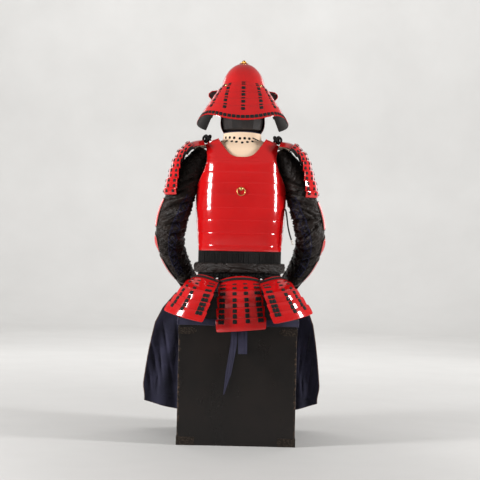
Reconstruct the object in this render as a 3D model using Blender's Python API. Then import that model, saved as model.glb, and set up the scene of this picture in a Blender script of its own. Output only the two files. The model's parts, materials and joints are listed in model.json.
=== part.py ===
"""Red lacquered samurai armour seated on its black armour box.

Frame: +Z up, +Y the wearer's front, +X the wearer's right, metres.
The origin is the centre of the box's underside.
"""
import math

import bmesh
import bpy
import numpy as np

# Clearances and sheet thicknesses
GAP = 0.0003
PLATE_REST = 0.0009
CLOTH = 0.002
PLATE = 0.003
LAME = 0.002

# Armour box
BOX_HALF = 0.226
BOX_WALL = 0.008
BOX_HEIGHT = 0.560
LID_HALF = 0.230
LID_TOP = 0.570
LID_HEM = 0.459
FITTING = 0.0015
FITTING_REACH = 0.068
FITTING_POINT = 0.018
BELT_HEIGHT = 0.026
BOX_FLOOR = 0.010
LOW_FITTING = (0.0005, 0.033)
HIGH_FITTING = (0.424, 0.451)
# Hanging ends of the tied band, one row for each change of width
#                  z      left    right
TIE_SHORT_ROWS = (
    (0.472, 0.001, 0.034),
    (0.430, 0.001, 0.036),
    (0.353, 0.002, 0.037),
)
TIE_LONG_ROWS = (
    (0.472, -0.026, -0.002),
    (0.396, -0.027, -0.002),
    (0.353, -0.033, -0.008),
    (0.277, -0.044, -0.022),
    (0.197, -0.051, -0.047),
)

# Cuirass: outer sections and the armhole edge, one row for each height
#                 z      half_x  back_y  front_y  edge_x
CUIRASS_ROWS = (
    (0.743, 0.1650, 0.118, 0.120, 0.1650),
    (0.800, 0.1700, 0.124, 0.128, 0.1700),
    (0.860, 0.1760, 0.128, 0.134, 0.1760),
    (0.926, 0.1800, 0.130, 0.138, 0.1800),
    (0.975, 0.1790, 0.130, 0.138, 0.1790),
    (1.000, 0.1780, 0.128, 0.137, 0.1720),
    (1.025, 0.1760, 0.126, 0.135, 0.1620),
    (1.060, 0.1720, 0.120, 0.130, 0.1460),
    (1.099, 0.1680, 0.112, 0.122, 0.1355),
    (1.140, 0.1620, 0.099, 0.108, 0.1390),
    (1.165, 0.1560, 0.089, 0.096, 0.1440),
    (1.185, 0.1520, 0.082, 0.086, 0.1470),
)
CUIRASS_POWER = 2.4
CUIRASS_SEAMS = (0.765, 0.814, 0.864, 0.913, 0.965, 1.011, 1.054, 1.096)
SEAM_STEP = 0.0013
SEAM_HALF = 0.0008
NECKLINE_BACK = 1.117
NECKLINE_HALF = 0.038
NECKLINE_POWER = 1.8
NECKLINE_FRONT = 1.085
SHOULDER_Z = 1.182
SHOULDER_X = 0.090
SHOULDER_SLOPE = 0.36
FRONT_TOP = 1.150
STRAP_REST = 0.0012
STRAP_COLUMNS = (0.094, 0.108, 0.122, 0.136)

# Ring on the back plate
STUD_RADIUS = 0.0075
STUD_REACH = 0.011
STUD_Z = 0.986
#                reach  radius
STUD_PROFILE = (
    (0.00, 0.90),
    (0.15, 1.00),
    (0.28, 0.45),
    (0.62, 0.45),
    (0.70, 0.80),
    (1.00, 0.45),
)
STUD_NECK = 0.45
RING_SEAT = 0.45
STUD_SEAT = 0.0004
RING_RADIUS = 0.0157
RING_WIRE = 0.0017

# Neck opening, collar and yoke: one row for each ring
#               z_side  z_back  half_x  half_y
COLLAR_ROWS = (
    (1.210, 1.214, 0.0720, 0.0600),
    (1.194, 1.194, 0.0740, 0.0630),
    (1.182, 1.177, 0.0765, 0.0670),
    (1.174, 1.150, 0.0930, 0.0770),
    (1.167, 1.120, 0.1060, 0.0850),
    (1.161, 1.094, 0.1140, 0.0920),
)
COLLAR_OPEN = 20.0

# Helmet
BOWL_HALF = 0.0872
BOWL_DEPTH = 1.20
BOWL_BASE = 1.374
BOWL_RISE = 0.115
BOWL_WALL = 0.0025
TEHEN_RADIUS = 0.006
GUARD_SWEEP = 125.0
# Finial: lift above its seat and radius, one row for each ring
#              radius   lift
FINIAL_ROWS = (
    (0.0040, 0.0004),
    (0.0165, 0.0004),
    (0.0172, 0.0020),
    (0.0125, 0.0035),
    (0.0085, 0.0045),
    (0.0105, 0.0070),
    (0.0065, 0.0090),
    (0.0050, 0.0110),
    (0.0020, 0.0125),
)
FINIAL_BRIM = 0.0165
# Visor: reach from the bowl and fall below its root
#             reach   fall
VISOR_ROWS = (
    (0.000, 0.000),
    (0.020, 0.004),
    (0.038, 0.012),
)
VISOR_SWEEP = 52.0
# Face mask and throat guard, one row for each line across
#             z      half_x   deep    chin
MASK_ROWS = (
    (1.292, 0.0850, 0.1010, 0.000),
    (1.268, 0.0860, 0.1030, 0.003),
    (1.245, 0.0865, 0.1040, 0.006),
    (1.226, 0.0820, 0.1000, 0.010),
    (1.212, 0.0740, 0.0900, 0.008),
)
MASK_SWEEP = 98.0
CHIN_WIDTH = 0.45
#               z       half_x   deep    lift
THROAT_ROWS = (
    (1.2102, 0.0745, 0.0965, 0.000),
    (1.1880, 0.0900, 0.1080, 0.000),
    (1.1870, 0.0900, 0.1080, 0.002),
    (1.1600, 0.1000, 0.1240, 0.000),
)
THROAT_SWEEP = 52.0
THROAT_WALL = 0.0025
#              angle   z_top   z_hem
GUARD_EDGE = (
    (0.0, 1.405, 1.249),
    (20.0, 1.403, 1.255),
    (35.0, 1.401, 1.266),
    (50.0, 1.399, 1.272),
    (65.0, 1.396, 1.266),
    (80.0, 1.393, 1.252),
    (100.0, 1.390, 1.238),
    (125.0, 1.385, 1.227),
)
GUARD_HEM_X = 0.180
GUARD_HEM_Y = 0.170
GUARD_SPLITS = (0.0, 0.112, 0.288, 0.460, 0.654, 1.0)
GUARD_OVERLAP = 0.035
GUARD_LIFT = 0.0031
TURN_BACK_Z = 1.368
TURN_BACK_X = 0.1385
TURN_BACK_LEAN = -0.004
#                     run    rise
TURN_BACK_OUTLINE = (
    (0.00, -0.015),
    (0.45, -0.019),
    (0.80, -0.015),
    (1.00, -0.004),
    (1.00, 0.006),
    (0.80, 0.016),
    (0.45, 0.019),
    (0.00, 0.014),
)

# Waist
CURTAIN_X = 0.1630
CURTAIN_Y = 0.1160
CURTAIN_TOP = 0.7427
CURTAIN_HEM = 0.638
SASH_X = 0.1738
SASH_Y = 0.1268
SASH_Z = 0.6765
SASH_THICK = 0.0094
SASH_TALL = 0.0205

# Tassets: yaw is the turn from straight back, reach runs backward or forward, drift sideways
#   name, top_x, top_y, yaw, roll, reach, drift, top_z, drop, half_top, half_hem, sag
TASSETS = (
    ("tasset_back", 0.0005, -0.160, 0.0, -5.0, -0.125, 0.012, 0.647, 0.204, 0.073, 0.093, 0.024),
    ("tasset_back_left", -0.137, -0.135, 32.0, 12.0, -0.170, -0.083, 0.648, 0.154, 0.058, 0.090, 0.022),
    ("tasset_back_right", 0.137, -0.135, -32.0, -12.0, -0.170, 0.083, 0.648, 0.154, 0.058, 0.090, 0.022),
    ("tasset_front_1", -0.132, 0.130, 168.0, 0.0, 0.142, -0.020, 0.647, 0.200, 0.036, 0.040, 0.006),
    ("tasset_front_2", -0.045, 0.150, 177.0, 0.0, 0.128, -0.003, 0.647, 0.204, 0.038, 0.040, 0.006),
    ("tasset_front_3", 0.045, 0.150, -177.0, 0.0, 0.128, 0.003, 0.647, 0.204, 0.038, 0.040, 0.006),
    ("tasset_front_4", 0.132, 0.130, -168.0, 0.0, 0.142, 0.020, 0.647, 0.200, 0.036, 0.040, 0.006),
)
#               reach  drop
TASSET_LAMES = (
    (0.00, 0.00),
    (0.40, 0.15),
    (0.86, 0.36),
    (0.92, 0.57),
    (0.96, 0.78),
    (1.00, 1.00),
)
TASSET_STEP = 0.0022
TASSET_COLUMNS = 4
LACE_Z = 0.649
LACE_SHARE = 0.72

# Sleeves: centre line and half sizes for the wearer's right, one row for each section
#               x       y       z      half_out half_deep
SLEEVE_ROWS = (
    (0.150, -0.004, 1.1365, 0.0300, 0.044),
    (0.168, -0.008, 1.112, 0.0430, 0.052),
    (0.190, -0.012, 1.076, 0.0500, 0.056),
    (0.213, -0.016, 1.030, 0.0510, 0.056),
    (0.232, -0.020, 0.985, 0.0500, 0.055),
    (0.241, -0.021, 0.960, 0.0520, 0.058),
    (0.253, -0.022, 0.925, 0.0580, 0.061),
    (0.266, -0.022, 0.885, 0.0620, 0.062),
    (0.275, -0.016, 0.845, 0.0640, 0.062),
    (0.279, 0.008, 0.800, 0.0580, 0.058),
    (0.277, 0.045, 0.762, 0.0540, 0.054),
    (0.268, 0.088, 0.724, 0.0520, 0.050),
    (0.252, 0.128, 0.688, 0.0500, 0.046),
    (0.234, 0.168, 0.655, 0.0440, 0.042),
    (0.220, 0.200, 0.632, 0.0370, 0.036),
)
SLEEVE_RINGS = 20
SLEEVE_SIDES = 12
# Largest creases: place along the sleeve, depth, length along it, direction round it
#                place  depth   length  turn
SLEEVE_CREASES = (
    (0.300, 0.0050, 0.030, 150.0),
    (0.455, 0.0040, 0.025, 200.0),
    (0.540, 0.0060, 0.022, 170.0),
    (0.600, 0.0060, 0.022, 120.0),
    (0.660, 0.0055, 0.022, 210.0),
    (0.780, 0.0045, 0.025, 160.0),
    (0.900, 0.0035, 0.025, 190.0),
)

# Plates on the sleeve: first and last ring, sides behind and before its outermost line, rise in the middle
#     name               first last behind before dome
ARM_PLATES = (
    ("upper_arm_plate", 7, 10, 1, 2, 0.000),
    ("elbow_cap", 11, 13, 1, 2, 0.006),
    ("forearm_plate", 14, 18, 1, 1, 0.000),
)
# Hand guard: way past the cuff and size beside it
#              run    size
HAND_ROWS = (
    (-0.010, 1.06),
    (0.020, 1.02),
    (0.050, 0.98),
    (0.078, 0.80),
    (0.092, 0.50),
)
KNOT_CENTRE = (0.1385, -0.030, 1.1860)
KNOT_HALF = (0.018, 0.014, 0.016)
PAD_FALL = 3.0
PAD_LINES = (-0.038, -0.012, 0.015, 0.042)
#            x       z
PAD_ROWS = (
    (0.1364, 1.1662),
    (0.1520, 1.1630),
    (0.1720, 1.1580),
    (0.1880, 1.1520),
)

# Shoulder guards: outermost line for the wearer's right, one row for each lame's edge
#             x       z       bend
SODE_ROWS = (
    (0.1560, 1.180, 0.010),
    (0.2077, 1.168, 0.016),
    (0.2440, 1.138, 0.024),
    (0.2650, 1.102, 0.030),
    (0.2780, 1.063, 0.036),
    (0.2890, 1.024, 0.042),
    (0.3005, 0.984, 0.048),
    (0.3040, 0.959, 0.050),
)
SODE_HALF = 0.088
SODE_STEP = 0.0022
SODE_COLUMNS = 6

# Thigh guard: one row for each line across the wearer's right panel
#                  y      z_in   z_out   x_in    x_out   back
HAIDATE_ROWS = (
    (0.1190, 0.6300, 0.6250, 0.004, 0.090, 0.030),
    (0.1500, 0.5960, 0.5900, 0.005, 0.130, 0.020),
    (0.1800, 0.5708, 0.5708, 0.006, 0.180, 0.000),
    (0.2315, 0.5708, 0.5708, 0.007, 0.226, 0.000),
    (0.2380, 0.5640, 0.5600, 0.008, 0.262, 0.006),
    (0.2400, 0.5000, 0.5000, 0.009, 0.312, 0.016),
    (0.2450, 0.4300, 0.4400, 0.010, 0.342, 0.024),
    (0.2550, 0.3500, 0.3700, 0.012, 0.358, 0.028),
    (0.2650, 0.2700, 0.2950, 0.014, 0.372, 0.030),
    (0.2750, 0.1600, 0.2040, 0.016, 0.385, 0.030),
    (0.2850, 0.0500, 0.1120, 0.018, 0.397, 0.028),
)
HAIDATE_COLUMNS = 12
HAIDATE_FOLDS = 3.5
HAIDATE_FOLD_DEPTH = 0.007
# Share of the spread beyond the box's side that each panel keeps
HAIDATE_SPREAD = {"left": 1.0, "right": 0.72}

# Inner stand: one row for each section
#               z       half_x  half_y
STAND_ROWS = (
    (0.5703, 0.0750, 0.0750),
    (0.5850, 0.0750, 0.0750),
    (0.6000, 0.0300, 0.0300),
    (1.0800, 0.0300, 0.0300),
    (1.1200, 0.0700, 0.0320),
    (1.1400, 0.1000, 0.0320),
    (1.1714, 0.0950, 0.0300),
    (1.1735, 0.0700, 0.0360),
    (1.1850, 0.0460, 0.0400),
    (1.2150, 0.0500, 0.0440),
    (1.2240, 0.0760, 0.0800),
    (1.2600, 0.0828, 0.0930),
    (1.3000, 0.0800, 0.0930),
    (1.3700, 0.0780, 0.0920),
    (1.4200, 0.0660, 0.0780),
    (1.4550, 0.0450, 0.0530),
    (1.4812, 0.0240, 0.0280),
)


def clear_scene():
    """Remove every object of the open file."""
    for obj in list(bpy.data.objects):
        bpy.data.objects.remove(obj, do_unlink=True)


def make_material(name, colour, roughness, metallic=0.0):
    """Principled material with one plain colour."""
    mat = bpy.data.materials.new(name)
    mat.use_nodes = True
    shader = mat.node_tree.nodes["Principled BSDF"]
    shader.inputs["Base Color"].default_value = (*colour, 1.0)
    shader.inputs["Roughness"].default_value = roughness
    shader.inputs["Metallic"].default_value = metallic
    return mat


def add_solid(name, vertices, faces, mat, flat=False, pivot=(0.0, 0.0, 0.0)):
    """One closed object, its faces turned outward and its origin at the pivot."""
    mesh = bpy.data.meshes.new(name)
    moved = np.asarray(vertices, dtype=float) - np.asarray(pivot)
    mesh.from_pydata(moved.tolist(), [], [list(face) for face in faces])
    form = bmesh.new()
    form.from_mesh(mesh)
    bmesh.ops.recalc_face_normals(form, faces=form.faces)
    form.to_mesh(mesh)
    form.free()
    mesh.materials.append(mat)
    if not flat:
        mesh.shade_smooth()
        mesh.set_sharp_from_angle(angle=math.radians(40))
    obj = bpy.data.objects.new(name, mesh)
    obj.location = pivot
    bpy.context.scene.collection.objects.link(obj)
    return obj


def wall(name, outer, inner, mat, closed=False, flat=False):
    """Closed body between two matching grids of points, rows by columns by three."""
    rows, columns = outer.shape[:2]
    count = rows * columns
    last = columns if closed else columns - 1

    def at(row, column, side):
        return side * count + row * columns + column % columns

    faces = []
    for row in range(rows - 1):
        for column in range(last):
            start, beside = at(row, column, 0), at(row, column + 1, 0)
            below, across = at(row + 1, column, 0), at(row + 1, column + 1, 0)
            for corner in ([start, beside, across], [start, across, below]):
                faces.append(corner)
                faces.append([index + count for index in reversed(corner)])
    for column in range(last):
        for row in (0, rows - 1):
            edge = [at(row, column, 0), at(row, column, 1)]
            faces.append(edge + [at(row, column + 1, 1), at(row, column + 1, 0)])
    if not closed:
        for row in range(rows - 1):
            for column in (0, columns - 1):
                edge = [at(row, column, 0), at(row, column, 1)]
                faces.append(edge + [at(row + 1, column, 1), at(row + 1, column, 0)])
    points = np.concatenate([outer.reshape(-1, 3), inner.reshape(-1, 3)])
    return add_solid(name, points, faces, mat, flat)


def loft(name, rings, mat, pivot=(0.0, 0.0, 0.0), flat=False):
    """Solid through a stack of closed rings, with a flat cap on each end."""
    rings = np.asarray(rings, dtype=float)
    count, sides = rings.shape[:2]
    faces = [list(range(sides)), list(range((count - 1) * sides, count * sides))]
    for ring in range(count - 1):
        for side in range(sides):
            after = (side + 1) % sides
            low = ring * sides
            faces.append([low + side, low + after, low + sides + after, low + sides + side])
    return add_solid(name, rings.reshape(-1, 3), faces, mat, flat, pivot)


def surface_normals(grid, toward, closed=False):
    """Unit normals of a grid, all turned to the side that the vectors in toward point to."""
    if closed:
        across = np.roll(grid, -1, axis=1) - np.roll(grid, 1, axis=1)
    else:
        across = np.gradient(grid, axis=1)
    down = np.gradient(grid, axis=0)
    normal = np.cross(across, down)
    normal /= np.linalg.norm(normal, axis=2, keepdims=True)
    if np.sum(normal * toward) < 0:
        normal = -normal
    return normal


def smooth_step(value, low, high):
    """Rises from 0 at low to 1 at high, level at both ends."""
    share = np.clip((value - low) / (high - low), 0.0, 1.0)
    return share * share * (3.0 - 2.0 * share)


def table_value(rows, key, column):
    """Value of one column of a table at a key, linear between its rows."""
    table = np.asarray(rows)
    return np.interp(key, table[:, 0], table[:, column])


def oval(half_x, half_y, power, sides):
    """Closed oval of points round the origin, squarer as the power rises."""
    angle = np.arange(sides) * 2.0 * math.pi / sides
    cosine = np.cos(angle)
    sine = np.sin(angle)
    x = half_x * np.sign(cosine) * np.abs(cosine) ** (2.0 / power)
    y = half_y * np.sign(sine) * np.abs(sine) ** (2.0 / power)
    return np.stack([x, y], axis=1)


def open_box(name, half_out, half_in, z_mouth, z_end, z_floor, mat):
    """Square tray or lid: open at z_mouth, closed between z_floor and z_end."""
    points = []
    for half, z in ((half_out, z_mouth), (half_out, z_end), (half_in, z_mouth), (half_in, z_floor)):
        points += [(-half, -half, z), (half, -half, z), (half, half, z), (-half, half, z)]
    faces = [[4, 5, 6, 7], [12, 13, 14, 15]]
    for side in range(4):
        after = (side + 1) % 4
        faces.append([side, after, 4 + after, 4 + side])
        faces.append([8 + side, 8 + after, 12 + after, 12 + side])
        faces.append([side, after, 8 + after, 8 + side])
    return add_solid(name, points, faces, mat, flat=True)


def corner_fitting(name, side_x, side_y, z_low, z_high, point, mat):
    """Thin angle plate round one upright edge of the box, narrowing towards its two ends."""
    middle = (z_low + z_high) / 2.0
    narrow = 0.004 if point else (z_high - z_low) / 2.0
    reach = FITTING_REACH
    stops = ((reach, narrow), (reach - FITTING_POINT, (z_high - z_low) / 2.0), (0.0, (z_high - z_low) / 2.0))
    sheets = []
    for face in (BOX_HALF + GAP + FITTING, BOX_HALF + GAP):
        columns = [(BOX_HALF - run, face, tall) for run, tall in stops[:2]]
        columns.append((face, face, stops[2][1]))
        columns += [(face, BOX_HALF - run, tall) for run, tall in reversed(stops[:2])]
        sheet = [[(side_x * x, side_y * y, middle + sign * tall) for x, y, tall in columns] for sign in (1, -1)]
        sheets.append(np.array(sheet))
    return wall(name, sheets[0], sheets[1], mat, flat=True)


def build_box(lacquer, bronze, navy):
    """Armour box with its lid, corner fittings, and the band tied round it."""
    open_box("box_body", BOX_HALF, BOX_HALF - BOX_WALL, BOX_HEIGHT, 0.0, BOX_FLOOR, lacquer)
    open_box("box_lid", LID_HALF, BOX_HALF + GAP, LID_HEM, LID_TOP, BOX_HEIGHT + GAP, lacquer)
    corners = (("back_left", -1, -1), ("back_right", 1, -1), ("front_left", -1, 1), ("front_right", 1, 1))
    for place, side_x, side_y in corners:
        corner_fitting("fitting_low_" + place, side_x, side_y, *LOW_FITTING, False, bronze)
        corner_fitting("fitting_high_" + place, side_x, side_y, *HIGH_FITTING, True, bronze)
    ring = []
    for half in (LID_HALF + GAP + CLOTH, LID_HALF + GAP):
        corner = [(-half, -half), (half, -half), (half, half), (-half, half)]
        ring.append(np.array([[(x, y, z) for x, y in corner] for z in (LID_HEM + BELT_HEIGHT, LID_HEM)]))
    wall("box_band", ring[0], ring[1], navy, closed=True, flat=True)
    near = -(LID_HALF + CLOTH + 2.0 * GAP)
    far = near - CLOTH
    tie_strip("tie_short_end", TIE_SHORT_ROWS, near, far, navy)
    tie_strip("tie_long_tail", TIE_LONG_ROWS, near, far, navy)


def tie_strip(name, rows, near, far, mat):
    """Flat hanging end of the band: rows of height, left edge and right edge."""
    sheets = []
    for y in (far, near):
        sheets.append(np.array([[(left, y, z), (right, y, z)] for z, left, right in rows]))
    return wall(name, sheets[0], sheets[1], mat, flat=True)


def build_stand(wood):
    """Smooth limbless form inside: foot, post, shoulder bar, neck and head."""
    rings = []
    for z, half_x, half_y in STAND_ROWS:
        ring = oval(half_x, half_y, 2.2, 12)
        rings.append([(x, y, z) for x, y in ring])
    loft("inner_stand", rings, wood)


def cuirass_point(share, z, front):
    """Outer point of the cuirass at a share of the way to its side edge, at height z."""
    half_x = table_value(CUIRASS_ROWS, z, 1)
    deep = table_value(CUIRASS_ROWS, z, 3 if front else 2)
    edge = table_value(CUIRASS_ROWS, z, 4)
    limit = math.asin(min(1.0, (edge / half_x) ** (CUIRASS_POWER / 2.0)))
    angle = share * limit
    x = half_x * math.copysign(abs(math.sin(angle)) ** (2.0 / CUIRASS_POWER), share)
    y = deep * abs(math.cos(angle)) ** (2.0 / CUIRASS_POWER)
    return np.array([x if share else 0.0, y if front else -y, z])


def plate_depth(x, z, front):
    """Distance of the cuirass's outer surface from the middle plane at a width and height."""
    half_x = table_value(CUIRASS_ROWS, z, 1)
    deep = table_value(CUIRASS_ROWS, z, 3 if front else 2)
    return deep * (1.0 - (x / half_x) ** CUIRASS_POWER) ** (1.0 / CUIRASS_POWER)


def shoulder_height(x):
    """Height of the shoulder line at a distance from the middle."""
    return SHOULDER_Z - SHOULDER_SLOPE * (abs(x) - SHOULDER_X)


def cuirass_grid(front):
    """Outer and inner points of one cuirass half, with a small step at each plate seam."""
    columns = np.linspace(-1.0, 1.0, 13 if front else 17)
    levels = [(CUIRASS_ROWS[0][0], 0.0)]
    for seam in CUIRASS_SEAMS:
        if not front or seam < NECKLINE_FRONT - 0.01:
            levels += [(seam - SEAM_HALF, SEAM_STEP), (seam + SEAM_HALF, 0.0)]
    base_top = levels[-1][0]
    upper = (0.25, 0.5, 0.75, 1.0)
    rows = []
    proud = []
    for z, step in levels:
        rows.append([cuirass_point(share, z, front) for share in columns])
        proud.append(step)
    for share_up in upper:
        row = []
        for share in columns:
            if front:
                top = NECKLINE_FRONT + (FRONT_TOP - NECKLINE_FRONT) * smooth_step(abs(share), 0.38, 0.60)
            else:
                x = abs(cuirass_point(share, SHOULDER_Z, False)[0])
                line = shoulder_height(max(x, SHOULDER_X))
                rise = smooth_step(x, NECKLINE_HALF, SHOULDER_X) ** NECKLINE_POWER
                top = NECKLINE_BACK + (line - NECKLINE_BACK) * rise
            z = base_top + (top - base_top) * share_up
            row.append(cuirass_point(share, z, front))
        rows.append(row)
        proud.append(SEAM_STEP * share_up * 0.5)
    grid = np.array(rows)
    steps = np.array(proud)[:, None, None]
    toward = grid * (1.0, 1.0, 0.0)
    smooth = surface_normals(grid, toward)
    side = (1.0 if front else -1.0) * GAP / 2.0
    outside = grid + smooth * (steps - SEAM_STEP)
    inside = grid - smooth * PLATE
    for sheet in (outside, inside):
        clear = sheet[:, :, 1] < side if front else sheet[:, :, 1] > side
        sheet[:, :, 1][clear] = side
    return outside, inside


def build_cuirass(lacquer, brass):
    """Back and front plates, shoulder straps, and the ring on its stud."""
    for name, front in (("cuirass_back", False), ("cuirass_front", True)):
        outside, inside = cuirass_grid(front)
        wall(name, outside, inside, lacquer)
    for name, side in (("shoulder_strap_left", -1), ("shoulder_strap_right", 1)):
        outside = []
        for turn in np.linspace(0.0, 1.0, 9):
            row = []
            for x in STRAP_COLUMNS:
                high = shoulder_height(x) + PLATE + STRAP_REST
                y_back = -plate_depth(x, shoulder_height(x), False)
                y_front = plate_depth(x, FRONT_TOP, True)
                z = high + (FRONT_TOP + PLATE + 2.0 * GAP - high) * smooth_step(turn, 0.5, 1.0)
                row.append((side * x, y_back + (y_front - y_back) * turn, z))
            outside.append(row)
        outside = np.array(outside)
        wall(name, outside, outside - (0.0, 0.0, PLATE), lacquer)
    back = cuirass_point(0.0, STUD_Z, False)[1]
    rings = []
    for reach, radius in STUD_PROFILE:
        y = back + STUD_SEAT - reach * STUD_REACH
        ring = oval(STUD_RADIUS * radius, STUD_RADIUS * radius, 2.0, 12)
        rings.append([(x, y, STUD_Z + z) for x, z in ring])
    loft("ring_stud", rings, brass)
    build_ring(back + STUD_SEAT - RING_SEAT * STUD_REACH, brass)


def build_ring(y, brass):
    """Round ring hanging on the stud's neck, its origin on the hinge axis."""
    hinge = STUD_Z + STUD_RADIUS * STUD_NECK + GAP + RING_WIRE
    centre = hinge - RING_RADIUS
    sides = 18
    section = 6
    points = []
    for turn in np.arange(sides) * 2.0 * math.pi / sides:
        for roll in np.arange(section) * 2.0 * math.pi / section:
            radius = RING_RADIUS + RING_WIRE * math.cos(roll)
            depth = RING_WIRE * 0.75 * math.sin(roll)
            points.append((radius * math.sin(turn), y + depth, centre + radius * math.cos(turn)))
    faces = []
    for ring in range(sides):
        for side in range(section):
            after = ((ring + 1) % sides) * section
            beside = (side + 1) % section
            faces.append([ring * section + side, ring * section + beside, after + beside, after + side])
    add_solid("back_ring", points, faces, brass, pivot=(0.0, y, hinge))


def build_collar(cream):
    """Stand-up collar and the yoke below it, open in front."""
    angles = np.radians(np.linspace(90.0 + COLLAR_OPEN, 450.0 - COLLAR_OPEN, 19))
    grid = []
    for z_side, z_back, half_x, half_y in COLLAR_ROWS:
        row = []
        for angle in angles:
            share = math.sin(angle) ** 2
            z = z_side + (z_back - z_side) * share
            row.append((half_x * math.cos(angle), half_y * math.sin(angle), z))
        grid.append(row)
    grid = np.array(grid)
    normal = surface_normals(grid, grid * (1.0, 1.0, 0.0))
    wall("collar", grid + normal * CLOTH, grid, cream)


def bowl_scale(z):
    """Half width of the bowl's outside at height z, as a share of its widest."""
    rise = np.clip((z - BOWL_BASE) / BOWL_RISE, 0.0, 1.0)
    return np.sqrt(1.0 - rise * rise)


def build_helmet(lacquer, brass):
    """Bowl, finial, visor, neck guard lames and turn-backs."""
    sides = 20
    angle = np.arange(sides) * 2.0 * math.pi / sides
    outside = []
    inside = []
    start = math.asin(TEHEN_RADIUS / BOWL_HALF)
    for tilt in np.linspace(start, math.pi / 2.0, 7):
        for sheet, less in ((outside, 0.0), (inside, BOWL_WALL)):
            half = (BOWL_HALF - less) * math.sin(tilt)
            if tilt == start:
                half = TEHEN_RADIUS
            z = BOWL_BASE + (BOWL_RISE - less) * math.cos(tilt)
            row = [half * np.cos(angle), half * BOWL_DEPTH * np.sin(angle), z + 0 * angle]
            sheet.append(np.stack(row, axis=1))
    wall("helmet_bowl", np.array(outside), np.array(inside), lacquer, closed=True)
    rings = []
    for radius, lift in FINIAL_ROWS:
        touch = min(radius, FINIAL_BRIM)
        seat = BOWL_BASE + BOWL_RISE * math.sqrt(1.0 - (touch / BOWL_HALF) ** 2)
        z = seat + lift if radius >= FINIAL_BRIM else BOWL_BASE + BOWL_RISE + lift
        rings.append([(x, y, z) for x, y in oval(radius, radius, 2.0, 12)])
    loft("finial", rings, brass)
    build_neck_guard(lacquer)
    build_visor(lacquer)


def guard_point(angle, share, lift):
    """Inner point of the neck guard: angle from the back, share from bowl to hem, lift outward."""
    turn = abs(angle)
    z_top = table_value(GUARD_EDGE, turn, 1)
    z_hem = table_value(GUARD_EDGE, turn, 2)
    radians = math.radians(angle)
    scale = bowl_scale(z_top)
    direction = np.array([math.sin(radians), -math.cos(radians), 0.0])
    half = BOWL_HALF * scale + 0.0005
    top = np.array([half * direction[0], half * BOWL_DEPTH * direction[1], z_top])
    hem = np.array([GUARD_HEM_X * direction[0], GUARD_HEM_Y * direction[1], z_hem])
    outward = direction * 0.85 + np.array([0.0, 0.0, 0.53])
    return top + (hem - top) * share + outward * lift


def build_neck_guard(lacquer):
    """Five lames, each lying outside the one above it, and a turn-back on each front end."""
    angles = np.linspace(-GUARD_SWEEP, GUARD_SWEEP, 21)
    lames = list(zip(GUARD_SPLITS[:-1], GUARD_SPLITS[1:]))
    for number, (start, stop) in enumerate(lames, 1):
        end = stop + GUARD_OVERLAP if stop < 1.0 else stop
        high = GUARD_LIFT if number > 1 else 0.0
        sheets = []
        for thick in (LAME, 0.0):
            rows = ((start, high), (end, 0.0))
            sheets.append(np.array([[guard_point(a, s, lift + thick) for a in angles] for s, lift in rows]))
        wall("neck_guard_" + str(number), sheets[0], sheets[1], lacquer)
    for name, side in (("turn_back_left", -1), ("turn_back_right", 1)):
        rings = []
        for thick in (0.0, LAME):
            ring = []
            for run, rise in TURN_BACK_OUTLINE:
                z = TURN_BACK_Z + rise
                share = (GUARD_EDGE[-1][1] - z) / (GUARD_EDGE[-1][1] - GUARD_EDGE[-1][2])
                root = guard_point(GUARD_SWEEP, share, GUARD_LIFT + LAME)
                x = root[0] + (TURN_BACK_X - root[0]) * run
                y = root[1] + 0.0008 + thick - TURN_BACK_LEAN * run
                ring.append((side * x, y, z))
            rings.append(ring)
        loft(name, rings, lacquer, flat=True)


def build_visor(lacquer):
    """Short curved brim over the forehead, between the ends of the neck guard."""
    sheets = []
    for thick in (0.0, -LAME):
        rows = []
        for out, fall in VISOR_ROWS:
            row = []
            for angle in np.radians(np.linspace(-VISOR_SWEEP, VISOR_SWEEP, 13)):
                reach = out * math.cos(angle * 1.4) + 2.0 * GAP
                x = (BOWL_HALF + reach) * math.sin(angle)
                y = (BOWL_HALF * BOWL_DEPTH + reach) * math.cos(angle)
                row.append((x, y, BOWL_BASE + 0.008 - fall + thick))
            rows.append(row)
        sheets.append(np.array(rows))
    wall("visor", sheets[0], sheets[1], lacquer)


def build_mask(lacquer):
    """Plain half mask for the lower face, and the throat guard under it."""
    angles = np.radians(np.linspace(-MASK_SWEEP, MASK_SWEEP, 15))
    grid = []
    for z, half_x, deep, chin in MASK_ROWS:
        row = []
        for angle in angles:
            bulge = chin * math.exp(-(angle / CHIN_WIDTH) ** 2)
            row.append((half_x * math.sin(angle), (deep + bulge) * math.cos(angle), z))
        grid.append(row)
    grid = np.array(grid)
    normal = surface_normals(grid, grid * (1.0, 1.0, 0.0))
    wall("face_mask", grid + normal * LAME, grid, lacquer)
    grid = []
    for z, half_x, deep, lift in THROAT_ROWS:
        row = []
        for angle in np.radians(np.linspace(-THROAT_SWEEP, THROAT_SWEEP, 13)):
            row.append(((half_x + lift) * math.sin(angle), (deep + lift) * math.cos(angle), z))
        grid.append(row)
    grid = np.array(grid)
    smooth = grid.copy()
    smooth[2] -= (smooth[2] - smooth[1]) * (1.0, 1.0, 0.0)
    inner = smooth - np.array([0.0, THROAT_WALL, 0.0])
    wall("throat_guard", grid, inner, lacquer)


def waist_point(x, y, margin):
    """Point on the outside of the hanging cords in the direction of x, y."""
    size = (abs(x / CURTAIN_X) ** CUIRASS_POWER + abs(y / CURTAIN_Y) ** CUIRASS_POWER) ** (1.0 / CUIRASS_POWER)
    length = math.hypot(x, y)
    scale = 1.0 / size + margin / length
    return x * scale, y * scale


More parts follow.
